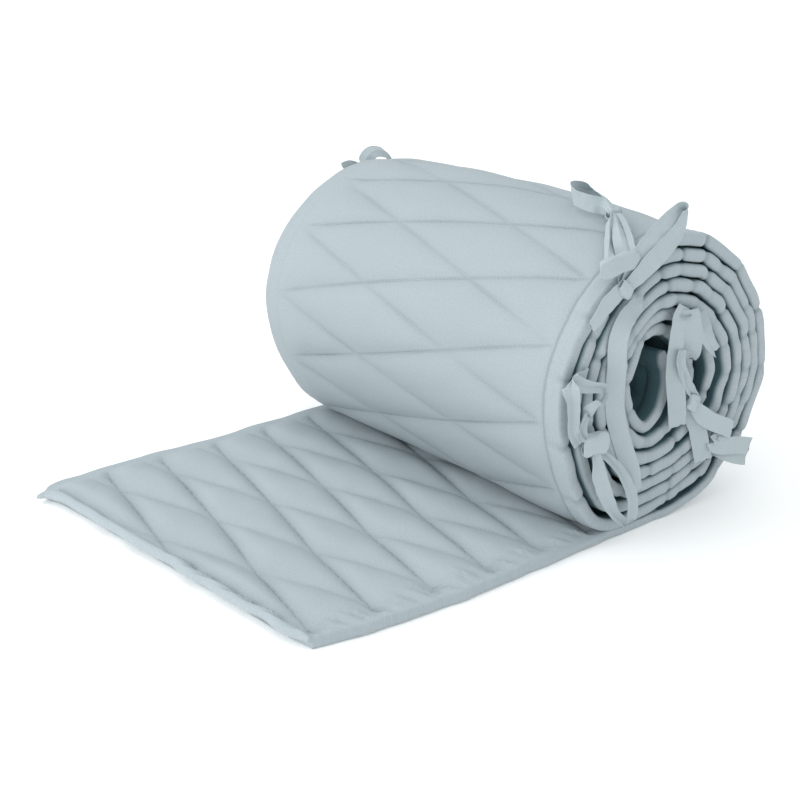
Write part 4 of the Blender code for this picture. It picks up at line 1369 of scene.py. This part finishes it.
@dataclass
class Studio:
    """The plain pale floor, the soft light, and the camera at the photograph's place."""

    place: Place = (-0.740409, -0.874227, 0.481307)
    tilt: float = 0.347553
    heading: float = 0.705015
    lens: float = 81.548
    sensor: float = 36.0
    floor_reach: float = 8.0
    floor_glow: float = 0.17
    room_colour: Colour = (0.955, 1.0, 1.01, 1.0)
    room_strength: float = 0.79

    def camera(self) -> None:
        """Make the camera."""
        data = bpy.data.cameras.new("camera")
        data.lens = self.lens
        data.sensor_width = self.sensor
        data.clip_start, data.clip_end = 0.05, 50.0
        item = bpy.data.objects.new("camera", data)
        level = math.cos(self.tilt)
        look = Vector((math.sin(self.heading) * level, math.cos(self.heading) * level, -math.sin(self.tilt)))
        item.rotation_mode = "QUATERNION"
        item.rotation_quaternion = look.to_track_quat("-Z", "Y")
        item.location = self.place
        bpy.context.scene.collection.objects.link(item)
        bpy.context.scene.camera = item

    def floor(self) -> None:
        """Make the floor, a large pale sheet under the part."""
        mesh = bpy.data.meshes.new("floor")
        reach = self.floor_reach
        corners = [(-reach, -reach, 0.0), (reach, -reach, 0.0), (reach, reach, 0.0), (-reach, reach, 0.0)]
        mesh.from_pydata(corners, [], [(0, 1, 2, 3)])
        item = bpy.data.objects.new("floor", mesh)
        bpy.context.scene.collection.objects.link(item)
        graph = ShaderGraph("pale floor")
        graph.surface.inputs["Base Color"].default_value = (0.93, 0.93, 0.93, 1.0)
        graph.surface.inputs["Roughness"].default_value = 0.9
        graph.surface.inputs["Specular IOR Level"].default_value = 0.0
        graph.surface.inputs["Emission Color"].default_value = (1.0, 1.0, 1.0, 1.0)
        graph.surface.inputs["Emission Strength"].default_value = self.floor_glow
        mesh.materials.append(graph.material)
        item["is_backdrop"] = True

    @staticmethod
    def lamp(name: str, towards: Place, strength: float, spread: float) -> None:
        """Add a broad soft light from far away, with the direction to it and its spread in degrees."""
        data = bpy.data.lights.new(name, "SUN")
        data.energy = strength
        data.angle = math.radians(spread)
        item = bpy.data.objects.new(name, data)
        item.rotation_mode = "QUATERNION"
        item.rotation_quaternion = Vector(towards).to_track_quat("Z", "Y")
        bpy.context.scene.collection.objects.link(item)

    @staticmethod
    def panel(name: str, place: Place, aim: Place, power: float, size: float) -> None:
        """Add a square soft panel of light, in watts and metres, that the camera doesn't see."""
        data = bpy.data.lights.new(name, "AREA")
        data.energy = power
        data.size = size
        item = bpy.data.objects.new(name, data)
        item.rotation_mode = "QUATERNION"
        item.rotation_quaternion = (Vector(aim) - Vector(place)).to_track_quat("-Z", "Y")
        item.location = place
        item.visible_camera = False
        bpy.context.scene.collection.objects.link(item)

    def light(self) -> None:
        """Make the room's even light and the soft lamps."""
        world = bpy.data.worlds.new("studio")
        world.use_nodes = True
        background = world.node_tree.nodes["Background"]
        background.inputs["Color"].default_value = self.room_colour
        background.inputs["Strength"].default_value = self.room_strength
        bpy.context.scene.world = world
        self.panel("side light", (-1.15, 0.12, 0.45), (0.0, 0.0, 0.05), 4.6, 0.9)
        self.lamp("top light", (-0.3, 0.15, 1.0), 0.85, 90.0)
        bpy.context.scene.view_settings.view_transform = "Standard"

    def build(self) -> None:
        """Make the whole studio."""
        self.camera()
        self.floor()
        self.light()


TOP_KNOTS = [
    Knot(-58.9, 82.7, 5.6, 29, 11.5, 8, 4),
    Knot(-54.9, 67.5, 8.5, 10, 9, 7, -45),
    Knot(-12.7, 98.3, -42.0, 9, 8, 8, 0),
]
TOP_RIBBONS = [
    [
        Spot(-50.5, 74.5, 5.0, 0.85, 0.53, 0.0),
        Spot(-53.5, 80.0, 5.6, 0.85, 0.53, 0.0),
    ],
    [
        Spot(-65.4, 85.6, 5.0, 0.94, 0.34, 0.00, 0.6),
        Spot(-45.8, 87.0, -13.6, 0.98, 0.17, 0.00, 0.5),
        Spot(-35.5, 92.1, -23.6, 0.98, 0.17, 0.00, 0.4),
        Spot(-24.5, 96.0, -33.4, 0.98, 0.17, 0.00, 0.4),
        Spot(-12.1, 98.7, -42.6, 0.87, 0.50, 0.00, 0.4),
    ],
    [
        Spot(-50.3, 82.9, 5.0, 0.98, 0.21, 0.00),
        Spot(-44.3, 88.4, -2.6, 0.98, 0.21, 0.00),
        Spot(-35.2, 92.6, -14.6, 0.98, 0.21, 0.00, 0.8),
        Spot(-25.1, 96.2, -26.8, 0.98, 0.21, 0.00, 0.5),
        Spot(-13.8, 98.8, -40.2, 0.87, 0.50, 0.00, 0.4),
    ],
    [
        Spot(-45.5, 87.2, 6.0, 0.50, 0.87, 0.00, 0.4),
        Spot(-37.8, 90.8, -3.8, 0.50, 0.87, 0.00, 0.4),
        Spot(-28.4, 94.4, -16.0, 0.64, 0.77, 0.00, 0.4),
        Spot(-18.8, 97.2, -29.4, 0.64, 0.77, 0.00, 0.4),
        Spot(-10.6, 99.0, -43.2, 0.77, 0.64, 0.00, 0.4),
    ],
    [
        Spot(-16.1, 99.1, -40.6, -0.09, 1.00, 0.00, 0.5),
        Spot(-15.1, 101.3, -48.6, -0.17, 0.98, 0.00, 0.9),
        Spot(-18.8, 102.7, -54.8, -0.21, 0.98, 0.00),
        Spot(-20.5, 103.9, -63.8, -0.21, 0.98, 0.00),
        Spot(-17.6, 105.0, -73.4, -0.21, 0.98, 0.00),
        Spot(-10.3, 105.9, -80.2, -0.26, 0.97, 0.00),
        Spot(2.8, 103.9, -83.8, -0.37, 0.93, 0.00, 0.8),
        Spot(7.5, 101.7, -77.4, -0.44, 0.90, 0.00, 0.7),
        Spot(1.1, 101.0, -61.4, -0.50, 0.87, 0.00, 0.6),
        Spot(-11.1, 99.8, -42.8, -0.50, 0.87, 0.00, 0.5),
    ],
    [
        Spot(-52.2, 69.9, 7.5, -0.63, 0.75, -0.17, 0.8),
        Spot(-45.4, 80.1, 8.0, -0.58, 0.74, -0.34),
        Spot(-37.0, 88.7, 8.0, -0.53, 0.68, -0.50),
        Spot(-26.8, 96.3, 8.0, -0.53, 0.68, -0.50),
        Spot(-15.5, 103.2, 8.0, -0.56, 0.71, -0.42),
        Spot(-6.4, 108.8, 8.5, -0.52, 0.84, -0.17, 0.9),
        Spot(-3.5, 108.6, 10.0, -0.42, 0.90, 0.09, 0.75),
        Spot(-5.7, 102.9, 11.5, -0.50, 0.87, 0.00, 0.75),
        Spot(-12.3, 96.0, 12.2, -0.60, 0.77, -0.21, 0.9),
        Spot(-23.2, 89.1, 12.6, -0.58, 0.74, -0.34),
        Spot(-35.1, 81.7, 12.4, -0.58, 0.74, -0.34),
        Spot(-44.9, 73.8, 11.2, -0.61, 0.78, -0.17, 0.9),
        Spot(-53.6, 66.8, 9.0, -0.62, 0.79, 0.00, 0.8),
    ],
    [
        Spot(-52.8, 68.5, 9.0, -0.47, 0.88, 0.00, 0.8),
        Spot(-62.8, 64.9, 9.5, -0.71, 0.71, 0.00),
        Spot(-71.3, 59.6, 9.5, -0.77, 0.64, 0.00),
        Spot(-77.8, 53.4, 9.5, -0.75, 0.63, 0.17),
        Spot(-82.3, 49.1, 9.0, -0.66, 0.66, 0.34),
    ],
]

LEFT_KNOTS = [
    Knot(-77.1, -27.4, 9.5, 19, 14, 7, -2),
]
LEFT_RIBBONS = [
    [
        Spot(-95.7, 15.4, 7.0, 0.17, 0.97, 0.17),
        Spot(-98.0, 12.5, 8.5, 0.43, 0.75, 0.50, 0.9),
        Spot(-96.4, 4.6, 9.0, 0.94, 0.08, 0.34, 0.75),
        Spot(-95.9, -5.8, 9.0, 0.96, 0.08, 0.26, 0.7),
        Spot(-96.0, -15.4, 9.5, 0.97, 0.17, 0.17, 0.7),
        Spot(-89.5, -24.9, 9.5, 0.47, 0.81, 0.34, 0.7),
    ],
    [
        Spot(-98.3, 18.3, 8.5, 0.16, 0.93, 0.34),
        Spot(-91.4, 14.5, 9.5, -0.09, 1.00, 0.00, 0.8),
        Spot(-82.4, 11.5, 11.0, -0.09, 1.00, 0.00, 0.6),
        Spot(-73.2, 8.9, 11.5, -0.17, 0.97, 0.17, 0.55),
        Spot(-71.7, 4.1, 12.0, 0.97, 0.17, 0.17, 0.35),
        Spot(-76.4, 0.2, 12.5, 0.94, 0.34, 0.09, 0.5),
        Spot(-82.4, -2.3, 12.5, 0.50, 0.86, 0.09, 0.8),
        Spot(-87.8, -5.7, 12.0, 0.94, 0.34, 0.00, 0.5),
        Spot(-89.9, -13.2, 11.0, 1.00, 0.09, 0.00, 0.5),
        Spot(-88.1, -21.7, 10.5, 1.00, 0.00, 0.00, 0.5),
    ],
    [
        Spot(-77.9, -30.8, 10.5, 1.00, 0.00, 0.00, 0.35),
        Spot(-76.3, -38.4, 11.0, 1.00, 0.09, 0.00, 0.7),
        Spot(-73.6, -47.6, 11.5, 0.99, 0.14, 0.00),
        Spot(-69.5, -58.1, 11.5, 0.98, 0.17, 0.00),
        Spot(-64.4, -69.0, 11.5, 0.91, 0.42, 0.00, 0.85),
        Spot(-57.8, -79.2, 11.0, 0.77, 0.64, 0.00, 0.6),
        Spot(-47.5, -88.5, 10.5, 0.50, 0.87, 0.00, 0.45),
    ],
    [
        Spot(-73.3, -31.6, 9.5, 0.72, 0.60, 0.34, 0.4),
        Spot(-65.4, -38.8, 10.0, 0.62, 0.74, 0.26, 0.45),
        Spot(-57.3, -46.8, 10.5, 0.75, 0.63, 0.17, 0.5),
        Spot(-50.0, -56.7, 11.0, 0.90, 0.42, 0.09, 0.6),
        Spot(-44.3, -67.7, 11.5, 0.98, 0.17, 0.00, 0.75),
        Spot(-41.8, -78.0, 11.5, 1.00, 0.00, 0.00, 0.8),
        Spot(-42.4, -88.4, 11.0, 0.98, -0.17, 0.00, 0.7),
    ],
    [
        Spot(-24.8, 53.7, 1.5, -0.42, 0.91, 0.00, 0.8),
        Spot(-38.9, 52.0, 4.5, -0.61, 0.78, -0.17),
        Spot(-51.6, 45.7, 7.5, -0.78, 0.45, -0.42),
        Spot(-58.2, 33.8, 8.5, -0.81, 0.14, -0.57),
        Spot(-58.1, 17.6, 8.5, -0.79, 0.00, -0.62),
        Spot(-58.9, 0.2, 8.5, -0.79, -0.03, -0.62),
        Spot(-57.0, -16.1, 8.5, -0.79, -0.21, -0.57),
        Spot(-50.1, -35.0, 9.0, -0.81, -0.30, -0.50),
        Spot(-42.1, -53.9, 9.5, -0.85, -0.31, -0.42),
        Spot(-36.4, -69.8, 9.5, -0.89, -0.29, -0.34, 0.8),
    ],
]

CORE_KNOTS = [
    Knot(12.4, -20.9, 9.5, 9, 11, 7, 60),
]
CORE_RIBBONS = [
    [
        Spot(8.0, 37.0, 8.0, 0.9, -0.3, 0.0),
        Spot(5.7, 42.5, 10.0, 0.91, 0.00, 0.42),
        Spot(5.9, 35.0, 12.0, 0.77, 0.00, 0.64),
        Spot(6.5, 25.2, 13.0, 0.74, 0.00, 0.67),
        Spot(7.4, 16.1, 12.0, 0.74, 0.00, 0.67),
        Spot(7.9, 10.0, 9.5, 0.82, 0.07, 0.57, 0.8),
    ],
    [
        Spot(15.2, 37.9, 9.5, 0.97, 0.17, 0.17, 0.9),
        Spot(19.2, 27.4, 11.0, 0.89, 0.42, 0.17, 0.9),
        Spot(25.5, 17.2, 10.5, 0.76, 0.64, 0.09, 0.8),
        Spot(37.4, 7.0, 7.0, 0.50, 0.87, 0.00, 0.6),
    ],
    [
        Spot(2.6, 45.2, 7.5, 1.00, 0.00, 0.00, 0.9),
        Spot(-1.7, 37.1, 8.5, 0.98, 0.00, 0.17),
        Spot(-4.1, 24.5, 9.0, 0.98, 0.00, 0.17),
        Spot(-5.5, 11.6, 9.5, 0.94, 0.00, 0.34),
        Spot(-5.2, -0.4, 10.0, 0.82, 0.00, 0.57),
        Spot(-3.3, -11.6, 10.0, 0.82, 0.00, 0.57),
        Spot(0.3, -23.8, 8.5, 0.87, 0.00, 0.50),
        Spot(5.3, -37.0, 5.0, 0.94, 0.00, 0.34),
    ],
    [
        Spot(-2.6, 18.1, 11.5, 0.98, 0.17, 0.00, 0.6),
        Spot(-4.1, 10.0, 12.5, 0.97, 0.17, 0.17, 0.6),
        Spot(0.6, -0.4, 12.5, 0.89, 0.42, 0.17, 0.6),
        Spot(8.3, -11.2, 11.5, 0.87, 0.50, 0.00, 0.6),
        Spot(17.8, -22.0, 10.0, 0.82, 0.57, 0.00, 0.5),
    ],
    [
        Spot(9.8, -20.2, 10.0, 0.93, 0.16, 0.34, 0.8),
        Spot(14.0, -28.9, 9.5, 0.85, 0.18, 0.50),
        Spot(20.5, -40.3, 9.0, 0.84, 0.21, 0.50),
        Spot(24.5, -52.5, 9.0, 0.84, 0.21, 0.50),
        Spot(28.6, -65.5, 9.0, 0.84, 0.21, 0.50),
    ],
    [
        Spot(11.7, -21.7, 11.0, 0.34, 0.93, 0.17, 0.6),
        Spot(19.9, -30.7, 13.0, 0.17, 0.98, 0.00),
        Spot(29.6, -37.4, 14.5, 0.09, 1.00, 0.00),
        Spot(41.1, -43.1, 14.5, 0.03, 1.00, 0.00),
        Spot(52.2, -49.2, 12.5, 0.03, 1.00, 0.00),
    ],
    [
        Spot(52.5, -50.3, 11.5, 0.17, 0.98, 0.00, 0.9),
        Spot(42.3, -51.7, 12.5, 0.17, 0.98, 0.00, 0.8),
        Spot(32.8, -53.4, 13.0, 0.14, 0.99, 0.00, 0.9),
        Spot(42.5, -58.0, 12.8, 0.07, 1.00, 0.00),
        Spot(57.4, -61.2, 12.5, -0.03, 1.00, 0.00),
        Spot(72.0, -65.7, 12.0, -0.12, 0.99, 0.00),
    ],
    [
        Spot(36.7, -59.2, 11.0, 0.17, 0.98, 0.00, 0.7),
        Spot(47.2, -64.0, 11.0, 0.10, 0.99, 0.00, 0.9),
        Spot(60.1, -69.5, 11.0, 0.07, 1.00, 0.00),
        Spot(70.9, -73.7, 11.0, 0.00, 1.00, 0.00, 0.9),
    ],
]

FAR_TOP_KNOTS = [
    Knot(-3.8, 79.7, 4.6, 15, 7, 8, 5),
]
FAR_TOP_RIBBONS = [
    [
        Spot(-4.0, 75.3, 4.4, 1.00, 0.00, 0.00),
        Spot(-4.0, 79.0, 4.4, 1.00, 0.00, 0.00),
    ],
    [
        Spot(-2.4, 79.6, 4.0, 0.50, 0.87, 0.00, 0.7),
        Spot(-0.8, 87.8, 3.5, -0.15, 0.85, 0.50, 0.9),
        Spot(6.5, 92.9, 3.0, 0.00, 0.64, 0.77, 0.9),
        Spot(16.2, 90.8, 3.0, 0.11, 0.63, 0.77, 0.8),
        Spot(22.9, 83.6, 4.0, 0.32, 0.56, 0.77, 0.6),
        Spot(17.7, 77.9, 6.0, 0.32, 0.56, 0.77, 0.6),
        Spot(2.7, 77.9, 5.5, 0.32, 0.56, 0.77, 0.6),
    ],
    [
        Spot(-7.2, 81.1, 4.0, 0.15, 0.85, 0.50, 0.6),
        Spot(-15.2, 84.6, 3.5, 0.15, 0.85, 0.50, 0.7),
        Spot(-21.4, 83.2, 4.0, 0.15, 0.85, 0.50, 0.8),
    ],
    [
        Spot(-1.7, 76.9, 6.0, 1.00, 0.09, 0.00, 0.8),
        Spot(1.7, 63.1, 8.0, 0.99, 0.14, 0.00),
        Spot(6.9, 45.2, 8.5, 0.98, 0.21, 0.00),
    ],
]


def all_ties() -> list[RibbonTie]:
    """Return the six ties; the far left one hangs a little further in than the near one."""
    far_knots = [knot._replace(x=knot.x + 9.0) for knot in LEFT_KNOTS]
    far_left = [[spot._replace(x=max(spot.x, -93.0) + 8.0) for spot in spots] for spots in LEFT_RIBBONS]
    return [
        RibbonTie("tie_near_top", End.NEAR, 0.59, TOP_KNOTS, TOP_RIBBONS),
        RibbonTie("tie_near_left", End.NEAR, 1.718, LEFT_KNOTS, LEFT_RIBBONS),
        RibbonTie("tie_near_core", End.NEAR, 5.43, CORE_KNOTS, CORE_RIBBONS),
        RibbonTie("tie_far_top", End.FAR, 0.52, FAR_TOP_KNOTS, FAR_TOP_RIBBONS),
        RibbonTie("tie_far_left", End.FAR, 1.718, far_knots, far_left),
        RibbonTie("tie_far_core", End.FAR, 5.43, CORE_KNOTS, CORE_RIBBONS),
    ]


def corners() -> list[list[float]]:
    """Return the whole object's lowest and highest corner as plain lists."""
    return [[float(value) for value in corner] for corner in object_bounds()]


def finishes() -> tuple[bpy.types.Material, bpy.types.Material, bpy.types.Material]:
    """Return the finishes of the quilted cotton, the ribbon and the thread."""
    # The quilted cotton's third colour is its specks' colour and also the dark teal of its painted shade.
    cotton = QuiltedCottonFinish(
        "quilted cotton", (0.416, 0.474, 0.502, 1.0), (0.444, 0.494, 0.520, 1.0), (0.020, 0.105, 0.130, 1.0)
    ).material()
    tape = CottonFinish(
        "cotton ribbon", (0.45, 0.515, 0.54, 1.0), (0.48, 0.54, 0.565, 1.0), (0.20, 0.32, 0.36, 1.0),
        thread=0.00036, crease_depth=0.0004, roughness=0.82,
    ).material()
    thread = CottonFinish(
        "quilting thread", (0.43, 0.49, 0.515, 1.0), (0.46, 0.51, 0.535, 1.0), (0.24, 0.36, 0.40, 1.0),
        thread=0.0002, crease_depth=0.0001, roughness=0.7,
    ).material()
    return cotton, tape, thread


def main() -> None:
    """Build the studio, the bumper and its ties in order."""
    logging.basicConfig(level=logging.INFO, format="%(name)s: %(message)s")
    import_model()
    Studio().build()
    cotton, tape, thread = finishes()
    path = Winding()
    quilting = Quilting(path)
    shape = StripShape(path, quilting)
    bumper = Bumper(path, quilting, shape)
    strip = bumper.build()
    strip.data.materials.append(cotton)
    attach(strip, "root")
    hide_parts("bumper")
    LOG.info("strip: %d faces, %.3f m long", len(strip.data.polygons), path.length * METRE)
    stitches = Stitching(shape).build(bumper, thread)
    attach(stitches, "root")
    LOG.info("stitches: %d faces", len(stitches.data.polygons))
    for tie in all_ties():
        piece = tie.build(path)
        piece.data.materials.append(tape)
        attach(piece, "root")
        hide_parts(tie.node)
        flat = (tie.width * METRE, round(tie.length * METRE, 3))
        LOG.info("%s: %d faces, ribbon %.3f m long", piece.name, len(piece.data.polygons), flat[1])


if __name__ == "__main__":
    main()
